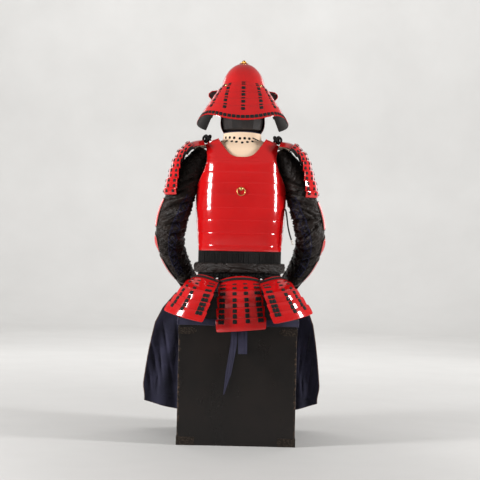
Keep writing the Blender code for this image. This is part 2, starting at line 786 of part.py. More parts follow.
def build_waist(cord, cloth):
    """Ring of hanging cords and the rolled sash tied over them."""
    sides = 32
    sheets = []
    for thick in (0.0, -CLOTH):
        ring = oval(CURTAIN_X + thick, CURTAIN_Y + thick, CUIRASS_POWER, sides)
        sheets.append(np.array([[(x, y, z) for x, y in ring] for z in (CURTAIN_TOP, CURTAIN_HEM)]))
    wall("hanging_cords", sheets[0], sheets[1], cord, closed=True)
    around = 28
    section = 6
    points = []
    ring = oval(SASH_X, SASH_Y, CUIRASS_POWER, around)
    for index, (x, y) in enumerate(ring):
        outward = np.array([x / SASH_X ** 2, y / SASH_Y ** 2])
        outward /= np.linalg.norm(outward)
        turn = 2.0 * math.pi * index / around
        swell = 1.0 + 0.07 * math.sin(7.0 * turn) + 0.05 * math.sin(11.0 * turn + 1.0)
        for roll in np.arange(section) * 2.0 * math.pi / section:
            push = SASH_THICK * math.cos(roll) * (swell if math.cos(roll) > 0 else 1.0)
            lift = SASH_TALL * math.sin(roll) * (0.97 + 0.03 * swell)
            points.append((x + outward[0] * push, y + outward[1] * push, SASH_Z + lift))
    faces = []
    for place in range(around):
        for side in range(section):
            after = ((place + 1) % around) * section
            beside = (side + 1) % section
            faces.append([place * section + side, place * section + beside, after + beside, after + side])
    add_solid("sash", points, faces, cloth)


def tasset_grids(top_x, top_y, yaw, roll, reach, drift, top_z, drop, half_top, half_hem, sag):
    """Outer and inner points of one tasset: a lace strip, then five lames that step outward."""
    turn = math.radians(yaw)
    outward = np.array([-math.sin(turn), -math.cos(turn), 0.0])
    across = np.array([math.cos(turn), -math.sin(turn), 0.0])
    tilt = math.radians(roll)
    shares = np.linspace(-1.0, 1.0, TASSET_COLUMNS + 1)
    base = []
    lifts = []
    for number, (out, down) in enumerate(TASSET_LAMES):
        lean = tilt * (0.6 + 0.4 * down)
        half = half_top + (half_hem - half_top) * down
        centre = np.array([top_x + drift * down, top_y + reach * out, top_z - drop * down])
        width = across * math.cos(lean) + np.array([0.0, 0.0, -math.sin(lean)])
        row = [centre + width * half * u - outward * sag * u * u for u in shares]
        if number in (0, len(TASSET_LAMES) - 1):
            base.append(row)
            lifts.append(0.0)
        else:
            fall = np.array([0.0, 0.0, -0.0005])
            base += [[p - fall for p in row], [p + fall for p in row]]
            lifts += [0.0, TASSET_STEP]
    first = []
    middle = base[0][TASSET_COLUMNS // 2]
    for point in base[0]:
        inward = middle + (point - middle) * LACE_SHARE
        x, y = waist_point(inward[0], inward[1], 0.0010)
        first.append((x, y, LACE_Z))
    grid = np.array([first] + base)
    lift = np.array([0.0] + lifts)[:, None, None]
    smooth = surface_normals(grid, np.broadcast_to(outward + (0.0, 0.0, 0.3), grid.shape))
    return grid + smooth * (lift + LAME), grid


def build_tassets(lacquer):
    """Three tassets behind and four in front, hanging from the cords."""
    for name, *sizes in TASSETS:
        outer, inner = tasset_grids(*sizes)
        wall(name, outer, inner, lacquer)


def sleeve_rings():
    """Outer points of the right sleeve, rings by sides by three, with its largest creases."""
    rows = np.asarray(SLEEVE_ROWS)
    steps = np.linalg.norm(np.diff(rows[:, :3], axis=0), axis=1)
    run = np.concatenate([[0.0], np.cumsum(steps)])
    run /= run[-1]
    places = np.linspace(0.0, 1.0, SLEEVE_RINGS)
    values = np.stack([np.interp(places, run, rows[:, column]) for column in range(5)], axis=1)
    for _ in range(2):
        values[1:-1] = 0.25 * values[:-2] + 0.5 * values[1:-1] + 0.25 * values[2:]
    centre = values[:, :3]
    along = np.gradient(centre, axis=0)
    along /= np.linalg.norm(along, axis=1, keepdims=True)
    depth = np.array([0.0, 1.0, 0.0]) - along * along[:, 1:2]
    depth /= np.linalg.norm(depth, axis=1, keepdims=True)
    width = np.cross(depth, along)
    width *= np.sign(width[:, :1])
    angle = np.arange(SLEEVE_SIDES) * 2.0 * math.pi / SLEEVE_SIDES
    size = np.zeros((SLEEVE_RINGS, SLEEVE_SIDES))
    for place, deep, length, turn in SLEEVE_CREASES:
        near = np.exp(-((places - place) / length) ** 2)
        facing = 0.5 + 0.5 * np.cos(angle - math.radians(turn))
        size -= deep * near[:, None] * facing[None, :]
    half_out = values[:, 3:4] + size
    half_deep = values[:, 4:5] + size
    rings = centre[:, None, :] + (half_out * np.cos(angle))[:, :, None] * width[:, None, :]
    rings = rings + (half_deep * np.sin(angle))[:, :, None] * depth[:, None, :]
    return rings, centre


def build_arms(cloth, lacquer, cord, cream):
    """Cloth sleeves with their plates, hand guards, shoulder guards, pads and knots."""
    rings, centre = sleeve_rings()
    outward = surface_normals(rings, rings - centre[:, None, :], closed=True)
    for word, side in (("left", -1), ("right", 1)):
        mirror = np.array([side, 1.0, 1.0])
        wall("sleeve_" + word, rings * mirror, (rings - outward * CLOTH) * mirror, cloth, closed=True)
        for name, start, stop, behind, before, dome in ARM_PLATES:
            columns = np.arange(-behind, before + 1) % SLEEVE_SIDES
            patch = rings[start:stop + 1][:, columns] + outward[start:stop + 1][:, columns] * PLATE_REST
            lift = outward[start:stop + 1][:, columns]
            rise = np.zeros(patch.shape[:2])
            rise[1:-1, 1:-1] = dome
            outer = patch + lift * (LAME + rise[:, :, None])
            wall(name + "_" + word, outer * mirror, (patch + lift * rise[:, :, None] * 0.9) * mirror, lacquer)
        build_hand_guard(word, mirror, rings, centre, lacquer)
        build_sode(word, mirror, lacquer)
        knot = []
        for tilt in np.linspace(0.06, 0.94, 7) * math.pi:
            ring = oval(KNOT_HALF[0] * math.sin(tilt), KNOT_HALF[1] * math.sin(tilt), 2.0, 10)
            rise = KNOT_HALF[2] * math.cos(tilt)
            knot.append([(np.array(KNOT_CENTRE) + (x, y, rise)) * mirror for x, y in ring])
        loft("shoulder_knot_" + word, knot, cord)
        pad = []
        for thick in (0.0, -CLOTH):
            rows = []
            for y in PAD_LINES:
                rows.append([(side * x, y, z + thick - PAD_FALL * y * y) for x, z in PAD_ROWS])
            pad.append(np.array(rows))
        wall("shoulder_pad_" + word, pad[0], pad[1], cream)


def build_hand_guard(word, mirror, rings, centre, lacquer):
    """Rounded plate over the back of the hand, starting just outside the cuff."""
    along = centre[-1] - centre[-3]
    along /= np.linalg.norm(along)
    upper = rings[-2] - centre[-2]
    height = upper @ np.array([0.35, 0.0, 1.0])
    order = np.roll(np.arange(SLEEVE_SIDES), -int(np.argmax(height)) + 3)[:7]
    rows = []
    for run, size in HAND_ROWS:
        rows.append([centre[-1] + along * run + (rings[-1][k] - centre[-1]) * size for k in order])
    grid = np.array(rows)
    toward = grid - (centre[-1] + along * 0.04)
    normal = surface_normals(grid, toward)
    wall("hand_guard_" + word, (grid + normal * LAME) * mirror, grid * mirror, lacquer)


def build_sode(word, mirror, lacquer):
    """Shoulder guard of seven stepped lames, bowed round the upper arm."""
    shares = np.linspace(-1.0, 1.0, SODE_COLUMNS + 1)
    base = []
    lifts = []
    for number, (x, z, bend) in enumerate(SODE_ROWS):
        y_mid = -0.012
        row = [(x - bend * abs(u) ** 3, y_mid + SODE_HALF * u, z - 0.35 * bend * u * u) for u in shares]
        if number in (0, len(SODE_ROWS) - 1):
            base.append(row)
            lifts.append(0.0)
        else:
            base += [[(a, b, c + 0.0005) for a, b, c in row], [(a, b, c - 0.0005) for a, b, c in row]]
            lifts += [0.0, SODE_STEP]
    grid = np.array(base)
    normal = surface_normals(grid, np.broadcast_to(np.array([1.0, 0.0, 0.6]), grid.shape))
    lift = np.array(lifts)[:, None, None]
    wall("shoulder_guard_" + word, (grid + normal * (lift + LAME)) * mirror, grid * mirror, lacquer)


def build_haidate(navy):
    """Two cloth thigh panels over the front of the box, spreading beyond its sides."""
    shares = np.linspace(0.0, 1.0, HAIDATE_COLUMNS)
    for word, side in (("left", -1), ("right", 1)):
        grid = []
        for y, z_in, z_out, x_in, x_out, back in HAIDATE_ROWS:
            row = []
            x_out = min(x_out, BOX_HALF) + max(0.0, x_out - BOX_HALF) * HAIDATE_SPREAD[word]
            loose = smooth_step(0.5 - z_in, 0.0, 0.15)
            for share in shares:
                x = x_in + (x_out - x_in) * share
                free = smooth_step(x, 0.20, 0.27)
                wave = HAIDATE_FOLD_DEPTH * math.sin(2.0 * math.pi * HAIDATE_FOLDS * share) * loose * free
                z = z_in + (z_out - z_in) * share ** 2
                bend = back * smooth_step(x, 0.225, x_out + 0.001)
                row.append((side * x, y - bend + wave + 0.006 * loose * free, z))
            grid.append(row)
        grid = np.array(grid)
        normal = surface_normals(grid, np.broadcast_to(np.array([0.0, 1.0, 0.4]), grid.shape))
        wall("thigh_guard_" + word, grid + normal * CLOTH, grid, navy)


def build_armour():
    """Every piece of the armour, its box and its stand."""
    clear_scene()
    red = make_material("red_lacquer", (0.58, 0.010, 0.012), 0.16)
    black = make_material("black_lacquer", (0.012, 0.009, 0.008), 0.28)
    bronze = make_material("dark_bronze", (0.10, 0.075, 0.055), 0.55, 0.8)
    gold = make_material("gilt_brass", (0.83, 0.60, 0.24), 0.28, 1.0)
    navy = make_material("navy_cloth", (0.022, 0.021, 0.045), 0.85)
    brown = make_material("dark_brown_cloth", (0.032, 0.024, 0.021), 0.75)
    cream = make_material("cream_cloth", (0.80, 0.68, 0.53), 0.80)
    cord = make_material("black_cord", (0.012, 0.011, 0.012), 0.70)
    wood = make_material("dark_stand", (0.020, 0.016, 0.015), 0.60)
    build_box(black, bronze, navy)
    build_stand(wood)
    build_cuirass(red, gold)
    build_collar(cream)
    build_helmet(red, gold)
    build_mask(red)
    build_waist(cord, brown)
    build_tassets(red)
    build_arms(brown, red, cord, cream)
    build_haidate(navy)


build_armour()
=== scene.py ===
import json
import math

import bpy
import numpy as np
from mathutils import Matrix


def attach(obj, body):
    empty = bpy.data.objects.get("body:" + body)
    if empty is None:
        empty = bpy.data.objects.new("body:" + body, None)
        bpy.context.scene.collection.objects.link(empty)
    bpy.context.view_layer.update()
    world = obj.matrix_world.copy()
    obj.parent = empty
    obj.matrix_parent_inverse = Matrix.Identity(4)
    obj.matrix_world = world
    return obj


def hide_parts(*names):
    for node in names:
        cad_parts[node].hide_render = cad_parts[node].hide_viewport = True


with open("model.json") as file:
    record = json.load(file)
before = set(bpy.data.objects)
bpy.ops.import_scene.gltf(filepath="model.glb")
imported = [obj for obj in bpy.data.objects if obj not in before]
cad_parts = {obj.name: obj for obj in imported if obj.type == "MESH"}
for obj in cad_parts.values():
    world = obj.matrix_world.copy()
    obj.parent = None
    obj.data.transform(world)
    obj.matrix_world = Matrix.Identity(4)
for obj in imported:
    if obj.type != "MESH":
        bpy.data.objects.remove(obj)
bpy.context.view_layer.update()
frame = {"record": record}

BODY = "armour"
TAU = 2.0 * math.pi
UP = np.array([0.0, 0.0, 1.0])
# Multiplies a place into its level direction from the middle line
LEVEL = np.array([1.0, 1.0, 0.0])
SIDES = (("left", -1.0), ("right", 1.0))


# Numbers and tables

def eased(table, column, at):
    """A table's column at a key, on cubic pieces: each row's slope is that of its two neighbours."""
    table = np.asarray(table, dtype=float)
    keys, values = table[:, 0], table[:, column]
    slopes = np.gradient(values, keys)
    at = np.clip(at, keys[0], keys[-1])
    low = np.clip(np.searchsorted(keys, at, side="right") - 1, 0, len(keys) - 2)
    span = keys[low + 1] - keys[low]
    t = (at - keys[low]) / span
    return hermite(t, values[low], values[low + 1], span * slopes[low], span * slopes[low + 1])


def hermite(t, first, last, leave, arrive):
    """Cubic from first to last as t goes from 0 to 1, with the slopes leave and arrive at its ends."""
    start = (2.0 * t ** 3 - 3.0 * t ** 2 + 1.0) * first + (t ** 3 - 2.0 * t ** 2 + t) * leave
    return start + ((3.0 * t ** 2 - 2.0 * t ** 3) * last + (t ** 3 - t ** 2) * arrive)


def refined(values, rows, columns=0):
    """Rows of an array resampled on cubic pieces whose slopes are their neighbours', then its columns if asked."""
    values = np.asarray(values, dtype=float)
    at = np.linspace(0.0, len(values) - 1.0, rows)
    low = np.clip(at.astype(int), 0, len(values) - 2)
    t = (at - low).reshape((-1,) + (1,) * (values.ndim - 1))
    slopes = np.gradient(values, axis=0)
    made = hermite(t, values[low], values[low + 1], slopes[low], slopes[low + 1])
    return np.swapaxes(refined(np.swapaxes(made, 0, 1), columns), 0, 1) if columns else made


def smooth(value, low, high):
    """Rises from 0 at low to 1 at high, level at both ends."""
    share = np.clip((value - low) / (high - low), 0.0, 1.0)
    return share * share * (3.0 - 2.0 * share)


def hump(value, middle, width):
    """Bell of height 1 round a middle: e to the minus square of the distance over the width."""
    return np.exp(-((value - middle) / width) ** 2)


def arch(share):
    """0 at shares 0 and 1, and 1 halfway between: 1 less the square of twice the share less 1."""
    return 1.0 - (2.0 * share - 1.0) ** 2


def unit(vectors):
    """Vectors divided by their own lengths."""
    return vectors / np.maximum(np.linalg.norm(vectors, axis=-1, keepdims=True), 1e-12)


def mirrored(points, side):
    """Points with x times side: 1 keeps them and -1 reflects them in the middle plane."""
    return points * np.array([side, 1.0, 1.0])


# Grids, shells and pieces

def lattice(rows, columns, wrap=False):
    """Corner indices of each square of a rows by columns grid; wrap joins the last column to the first."""
    row = np.arange(rows - 1)[:, None]
    column = np.arange(columns if wrap else columns - 1)[None, :]
    beside = (column + 1) % columns
    below = row + 1
    corners = [row * columns + column, row * columns + beside, below * columns + beside, below * columns + column]
    return np.stack([corner + 0 * (row + column) for corner in corners], axis=-1).reshape(-1, 4)


def grid_normals(grid):
    """Unit normal at each grid point: the cross product of its steps along the columns and the rows."""
    return unit(np.cross(np.gradient(grid, axis=1), np.gradient(grid, axis=0)))


def cap(start, sides, first):
    """Flat quads across a ring with an even number of sides, wound to meet a lattice's first or last ring."""
    near = np.arange(sides // 2 - 1)
    corners = [near, near + 1, sides - 2 - near, sides - 1 - near]
    if first:
        corners = [near + 1, near, sides - 1 - near, sides - 2 - near]
    return np.stack(corners, axis=1) + start


def lofted(rows, sides):
    """Quads of a stack of closed rings with a cap on each end."""
    last = (rows - 1) * sides
    return np.concatenate([lattice(rows, sides, True), cap(0, sides, True), cap(last, sides, False)])


def outward(points, quads):
    """The quads turned so that the closed form's signed volume is positive."""
    a, b, c, d = (points[quads[:, k]] for k in range(4))
    volume = np.sum(a * np.cross(b, c)) + np.sum(a * np.cross(c, d))
    return quads if volume > 0 else quads[:, ::-1]


def form_of(points, quads, chart, wear=None):
    """A form: its points, its quads turned outward, its map in metres, and its edge wear, which is 0 unless given."""
    wear = np.zeros(len(points)) if wear is None else wear
    return {"points": points, "quads": outward(points, quads), "uv": chart, "edge": wear}


def facing(normal, toward):
    """The normals, all reversed if they point away from toward on the whole."""
    return -normal if np.sum(normal * toward) < 0 else normal


def outline(grid):
    """A grid's four sides as one closed ring of points."""
    return np.concatenate([grid[0], grid[1:, -1], grid[-1, ::-1][1:], grid[::-1, 0][1:-1]])


EDGE_WIDTH = 0.006


def shell(outer, inner, wrap=False):
    """Closed form between two matching grids, with its rims.
    Its map runs along the rows and columns in metres; its wear is 1 on the outer rim, 0 from the edge's width
    inside it, and -1 on the inner wall."""
    rows, columns = outer.shape[:2]
    count = rows * columns
    face = lattice(rows, columns, wrap)
    parts = [face, face[:, ::-1] + count]
    first = np.arange(columns if wrap else columns - 1)
    beside = (first + 1) % columns
    for start, turn in ((0, 1), ((rows - 1) * columns, -1)):
        rim = np.stack([start + beside, start + first, start + first + count, start + beside + count], axis=1)
        parts.append(rim[:, ::turn])
    if not wrap:
        down = np.arange(rows - 1) * columns
        for start, turn in ((0, 1), (columns - 1, -1)):
            a, b = down + start, down + columns + start
            parts.append(np.stack([a, b, b + count, a + count], axis=1)[:, ::turn])
    points = np.concatenate([outer.reshape(-1, 3), inner.reshape(-1, 3)])
    along = np.zeros((rows, columns))
    along[:, 1:] = np.cumsum(np.linalg.norm(np.diff(outer, axis=1), axis=2), axis=1)
    down = np.zeros((rows, columns))
    down[1:] = np.cumsum(np.linalg.norm(np.diff(outer, axis=0), axis=2), axis=0)
    if wrap:
        along = np.broadcast_to(along[rows // 2], along.shape)
    near = np.minimum(down, down[-1:] - down)
    if not wrap:
        near = np.minimum(near, np.minimum(along, along[:, -1:] - along))
    wear = np.clip(1.0 - near / EDGE_WIDTH, 0.0, 1.0).reshape(-1)
    chart = np.stack([along, down], axis=-1).reshape(-1, 2)
    wear = np.concatenate([wear, np.full(count, -1.0)])
    return form_of(points, np.concatenate(parts), np.tile(chart, (2, 1)), wear)


def tube(path, radius, sides=8, ref=(0.0, 0.0, 1.0), flat=1.0, closed=False):
    """Round or flat cord along a path: rings across it, radius wide along ref crossed with the path, flat times
    that the other way. An open one ends in two small caps."""
    path = np.asarray(path, dtype=float)
    count = len(path)
    if closed:
        along = unit(np.roll(path, -1, axis=0) - np.roll(path, 1, axis=0))
    else:
        along = unit(np.gradient(path, axis=0))
    side = unit(np.cross(np.broadcast_to(np.asarray(ref, dtype=float), path.shape), along))
    lift = np.cross(along, side)
    turn = np.arange(sides)[None, :] / sides * TAU + np.zeros(count)[:, None]
    wide = np.broadcast_to(np.asarray(radius, dtype=float), (count,))[:, None]
    x, y = wide * np.cos(turn), wide * flat * np.sin(turn)
    rings = path[:, None] + x[..., None] * side[:, None] + y[..., None] * lift[:, None]
    if closed:
        rings = np.concatenate([rings, rings[:1]])
        points = rings[:-1].reshape(-1, 3)
        quads = lattice(count + 1, sides, True) % (count * sides)
    else:
        ends = [path[0] + (rings[0] - path[0]) * 0.02, path[-1] + (rings[-1] - path[-1]) * 0.02]
        rings = np.concatenate([ends[0][None], rings, ends[1][None]])
        points = rings.reshape(-1, 3)
        quads = lofted(count + 2, sides)
    run = np.concatenate([[0.0], np.cumsum(np.linalg.norm(np.diff(rings.mean(axis=1), axis=0), axis=1))])
    if closed:
        run = run[:-1]
    around = np.arange(sides) / sides * TAU * float(np.mean(radius))
    chart = np.stack(np.broadcast_arrays(around[None, :], run[:, None]), axis=-1).reshape(-1, 2)
    return form_of(points, quads, chart)


def lathe(profile, sides, centre, petals=0, petal_depth=0.0):
    """Closed form of revolution about the upright line through centre: profile rows are radius and height.
    Petals swell and shrink the radius as a rectified wave round the axis."""
    profile = np.asarray(profile, dtype=float)
    turn = np.arange(sides) / sides * TAU
    wave = 1.0 - petal_depth * (1.0 - np.abs(np.cos(turn * petals / 2.0))) if petals else np.ones(sides)
    radius = profile[:, :1] * wave
    grid = np.stack([radius * np.cos(turn), radius * np.sin(turn), profile[:, 1:2] + 0 * radius], axis=-1)
    points = (grid + np.asarray(centre)).reshape(-1, 3)
    return form_of(points, lofted(len(profile), sides), points[:, [0, 2]])


#                size   height
MARK_RINGS = ((0.02, 1.00), (0.60, 1.00), (0.90, 0.72), (1.00, 0.20), (1.00, -0.60), (0.02, -0.60))


def marks(place, across, down, normal, half_wide, half_tall, height, corner=0.30):
    """Low pillows on a surface, one at each place: eight-sided rings whose sizes and heights follow the table.
    across, down and normal are each pillow's own unit directions."""
    given = (place, across, down, normal)
    place, across, down, normal = (np.asarray(each, dtype=float).reshape(-1, 3) for each in given)
    count = len(place)
    wide = np.broadcast_to(np.asarray(half_wide, dtype=float), (count,))[:, None, None]
    tall = np.broadcast_to(np.asarray(half_tall, dtype=float), (count,))[:, None, None]
    cut = 1.0 - corner
    ring = np.array([(1, -cut), (1, cut), (cut, 1), (-cut, 1), (-1, cut), (-1, -cut), (-cut, -1), (cut, -1)])
    size = np.array([row[0] for row in MARK_RINGS])[None, :, None]
    high = np.array([row[1] for row in MARK_RINGS])[None, :, None] * height
    x, y = ring[:, 0] * size * wide, ring[:, 1] * size * tall
    chart = np.stack([x, y], axis=-1)
    x, y = x[..., None] * across[:, None, None], y[..., None] * down[:, None, None]
    z = (high + 0.0 * ring[:, 0])[..., None] * normal[:, None, None]
    points = place[:, None, None] + x + y + z
    rings, sides = points.shape[1:3]
    one = outward(points[0].reshape(-1, 3), lofted(rings, sides))
    quads = (one[None] + np.arange(count)[:, None, None] * rings * sides).reshape(-1, 4)
    chart = np.broadcast_to(chart, (count, rings, sides, 2)).reshape(-1, 2)
    return form_of(points.reshape(-1, 3), quads, chart)


def joined(forms):
    """Several forms as one, in their order."""
    forms = [form for form in forms if len(form["points"])]
    offsets = np.cumsum([0] + [len(form["points"]) for form in forms[:-1]])
    whole = {key: np.concatenate([form[key] for form in forms]) for key in ("points", "uv", "edge")}
    whole["quads"] = np.concatenate([form["quads"] + offset for form, offset in zip(forms, offsets)])
    return whole


def piece(name, form, material, nodes=(), body=BODY, sharp=50.0):
    """A form as a mesh object in the frame's own place, riding on a body and standing for its CAD nodes."""
    points, quads = form["points"], form["quads"]
    mesh = bpy.data.meshes.new(name)
    mesh.vertices.add(len(points))
    mesh.vertices.foreach_set("co", points.astype(np.float32).ravel())
    mesh.loops.add(quads.size)
    mesh.loops.foreach_set("vertex_index", quads.astype(np.int32).ravel())
    mesh.polygons.add(len(quads))
    mesh.polygons.foreach_set("loop_start", (np.arange(len(quads)) * 4).astype(np.int32))
    mesh.polygons.foreach_set("loop_total", np.full(len(quads), 4, dtype=np.int32))
    mesh.update(calc_edges=True)
    chart = mesh.uv_layers.new(name="UVMap")
    chart.data.foreach_set("uv", form["uv"][quads.ravel()].astype(np.float32).ravel())
    edge = mesh.attributes.new("edge", "FLOAT", "POINT")
    edge.data.foreach_set("value", form["edge"].astype(np.float32))
    mesh.materials.append(material)
    mesh.shade_smooth()
    mesh.set_sharp_from_angle(angle=math.radians(sharp))
    obj = bpy.data.objects.new(name, mesh)
    bpy.context.scene.collection.objects.link(obj)
    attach(obj, body)
    if nodes:
        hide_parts(*nodes)
    return obj


# Materials

def add_node(mat, kind, values=(), **settings):
    """One shader node with its settings and its sockets' values; a value that is a socket is linked."""
    node = mat.node_tree.nodes.new(kind)
    for key, value in settings.items():
        setattr(node, key, value)
    for key, value in dict(values).items():
        if isinstance(value, bpy.types.NodeSocket):
            mat.node_tree.links.new(value, node.inputs[key])
        else:
            node.inputs[key].default_value = value
    return node


def ramp(mat, source, stops):
    """Colour ramp on a value: stops are place and grey level or colour."""
    node = add_node(mat, "ShaderNodeValToRGB", {"Fac": source})
    band = node.color_ramp
    while len(band.elements) < len(stops):
        band.elements.new(0.5)
    for element, (place, colour) in zip(band.elements, stops):
        element.position = place
        element.color = (*colour, 1.0) if hasattr(colour, "__len__") else (colour, colour, colour, 1.0)
    return node.outputs["Color"]


def noise(mat, where, scale, detail=4.0, rough=0.55, stretch=None):
    """Cloudy value from 0 to 1 at a scale for each metre, its coordinates stretched where asked."""
    if stretch is not None:
        where = add_node(mat, "ShaderNodeMapping", {"Vector": where, "Scale": stretch}).outputs["Vector"]
    values = {"Vector": where, "Scale": scale, "Detail": detail, "Roughness": rough}
    return add_node(mat, "ShaderNodeTexNoise", values).outputs["Fac"]


def arithmetic(mat, operation, first, second):
    """Two values added, multiplied or compared."""
    return add_node(mat, "ShaderNodeMath", {0: first, 1: second}, operation=operation).outputs["Value"]


def times(mat, first, second):
    """Two values multiplied."""
    return arithmetic(mat, "MULTIPLY", first, second)


def plus(mat, first, second):
    """Two values added."""
    return arithmetic(mat, "ADD", first, second)


def tint(mat, share, first, second, blend="MIX"):
    """Two colours mixed by a share."""
    node = add_node(mat, "ShaderNodeMix", (), data_type="RGBA", blend_type=blend)
    for index, value in ((0, share), (6, first), (7, second)):
        if isinstance(value, bpy.types.NodeSocket):
            mat.node_tree.links.new(value, node.inputs[index])
        else:
            node.inputs[index].default_value = value if index == 0 else (*value, 1.0)
    return node.outputs[2]


def new_finish(name, **sockets):
    """Material with one principled shader and the constants set on its own sockets."""
    mat = bpy.data.materials.new(name)
    mat.use_nodes = True
    shader = mat.node_tree.nodes["Principled BSDF"]
    for key, value in sockets.items():
        shader.inputs[key.replace("_", " ")].default_value = value
    return mat, shader


def wire(mat, shader, colour=None, roughness=None, height=None, strength=0.3, distance=0.001):
    """Connects a colour, a roughness and a bump height to the shader."""
    links = mat.node_tree.links
    if colour is not None:
        links.new(colour, shader.inputs["Base Color"])
    if roughness is not None:
        links.new(roughness, shader.inputs["Roughness"])
    if height is not None:
        bump = add_node(mat, "ShaderNodeBump", {"Height": height, "Strength": strength, "Distance": distance})
        links.new(bump.outputs["Normal"], shader.inputs["Normal"])


def object_place(mat):
    """The point's own place on the piece, in metres."""
    return add_node(mat, "ShaderNodeTexCoord").outputs["Object"]


def lacquer(name, colour, deep, bare, roughness):
    """Polished lacquer over metal: slow clouds of a deeper tone, faint brush waviness, fine scratches that dull
    it, rubbed rims where the bare tone comes through, and a black inner wall."""
    mat, shader = new_finish(name, Coat_Weight=0.20, Coat_Roughness=0.04, Specular_IOR_Level=0.5)
    where = object_place(mat)
    cloud = ramp(mat, noise(mat, where, 7.0, 5.0), ((0.30, 0.0), (0.75, 1.0)))
    tone = tint(mat, cloud, colour, deep)
    edge = add_node(mat, "ShaderNodeAttribute", (), attribute_name="edge").outputs["Fac"]
    chip = times(mat, edge, noise(mat, where, 160.0, 6.0, 0.7))
    worn = ramp(mat, chip, ((0.50, 0.0), (0.66, 0.75)))
    scratch = noise(mat, where, 60.0, 6.0, 0.75, (1.0, 1.0, 9.0))
    dull = ramp(mat, scratch, ((0.45, roughness), (0.80, roughness + 0.10)))
    wave = plus(mat, noise(mat, where, 34.0, 2.0, 0.4), times(mat, noise(mat, where, 420.0, 3.0), 0.12))
    inner = ramp(mat, times(mat, edge, -1.0), ((0.45, 0.0), (0.55, 1.0)))
    dull = plus(mat, dull, times(mat, inner, 0.55))
    tone = tint(mat, inner, tint(mat, worn, tone, bare), (0.0035, 0.0025, 0.0025))
    wire(mat, shader, tone, dull, wave, 0.035, 0.001)
    return mat


def woven(name, colour, deep, thread, roughness, sheen, soft=0.35, crease=0.0):
    """Plain woven cloth on its own map: two crossed waves of threads, slubs, and slow clouds of fading."""
    mat, shader = new_finish(name, Sheen_Weight=sheen, Sheen_Roughness=0.45, Specular_IOR_Level=0.24)
    chart = add_node(mat, "ShaderNodeUVMap", (), uv_map="UVMap").outputs["UV"]
    where = object_place(mat)
    threads = []
    for direction in ("X", "Y"):
        values = {"Vector": chart, "Scale": thread, "Distortion": 0.6, "Detail": 1.0, "Detail Scale": 0.4}
        threads.append(add_node(mat, "ShaderNodeTexWave", values, bands_direction=direction).outputs["Fac"])
    weave = arithmetic(mat, "MAXIMUM", threads[0], threads[1])
    slub = noise(mat, where, 900.0, 3.0, 0.7)
    cloud = ramp(mat, noise(mat, where, 14.0, 6.0, 0.6), ((0.32, 0.0), (0.72, 1.0)))
    tone = tint(mat, cloud, colour, deep)
    tone = tint(mat, times(mat, slub, 0.5), tone, deep)
    fuzz = ramp(mat, slub, ((0.3, roughness - 0.08), (0.8, roughness + 0.08)))
    height = plus(mat, times(mat, weave, 0.35), times(mat, slub, 0.4))
    if crease:
        crumple = noise(mat, where, 75.0, 5.0, 0.55)
        height = plus(mat, height, times(mat, crumple, crease))
    wire(mat, shader, tone, fuzz, height, soft, 0.001)
    return mat


def braided(name, colour, deep, pitch, roughness):
    """Flat silk braid on its own map: crossing slanting strands, a dull sheen, and painted shade in the grooves
    between strands, mixed with random fading.
    """
    mat, shader = new_finish(name, Sheen_Weight=0.04, Specular_IOR_Level=0.22)
    chart = add_node(mat, "ShaderNodeUVMap", (), uv_map="UVMap").outputs["UV"]
    strands = []
    for lean in (0.6, -0.6):
        leaning = add_node(mat, "ShaderNodeMapping", {"Vector": chart, "Rotation": (0.0, 0.0, lean)})
        values = {"Vector": leaning.outputs["Vector"], "Scale": pitch, "Distortion": 0.3, "Detail": 1.0}
        strands.append(add_node(mat, "ShaderNodeTexWave", values, bands_direction="Y").outputs["Fac"])
    plait = arithmetic(mat, "MAXIMUM", strands[0], strands[1])
    fade = noise(mat, object_place(mat), 30.0, 4.0)
    # Painted shade: strand height times random fading sets the colour, so the grooves between strands get the deep
    # tone
    share = times(mat, plait, fade)
    tone = tint(mat, ramp(mat, share, ((0.15, 0.0), (0.60, 1.0))), deep, colour)
    gloss = ramp(mat, plait, ((0.2, roughness + 0.10), (0.9, roughness - 0.05)))
    wire(mat, shader, tone, gloss, plait, 0.45, 0.0006)
    return mat


def gilding(name, colour, deep, roughness):
    """Gilt brass: warm metal with random darker patches of tarnish, fine scratches and a hammered ripple."""
    mat, shader = new_finish(name, Metallic=1.0)
    where = object_place(mat)
    tarnish = ramp(mat, noise(mat, where, 130.0, 6.0, 0.65), ((0.35, 0.0), (0.80, 1.0)))
    scratch = noise(mat, where, 700.0, 4.0, 0.7, (1.0, 1.0, 4.0))
    rough = ramp(mat, scratch, ((0.35, roughness), (0.80, roughness + 0.16)))
    wire(mat, shader, tint(mat, tarnish, colour, deep), rough, noise(mat, where, 320.0, 3.0), 0.12, 0.0005)
    return mat


def patina(name, colour, deep):
    """Dark bronze plate chased all over: small raised cells, worn brighter on their tops."""
    mat, shader = new_finish(name, Metallic=0.8)
    where = object_place(mat)
    cells = add_node(mat, "ShaderNodeTexVoronoi", {"Vector": where, "Scale": 210.0}).outputs["Distance"]
    grain = noise(mat, where, 480.0, 5.0, 0.7)
    height = plus(mat, times(mat, cells, -1.0), times(mat, grain, 0.6))
    tops = ramp(mat, cells, ((0.10, 1.0), (0.55, 0.0)))
    rough = ramp(mat, grain, ((0.3, 0.38), (0.8, 0.62)))
    wire(mat, shader, tint(mat, tops, deep, colour), rough, height, 0.65, 0.0012)
    return mat


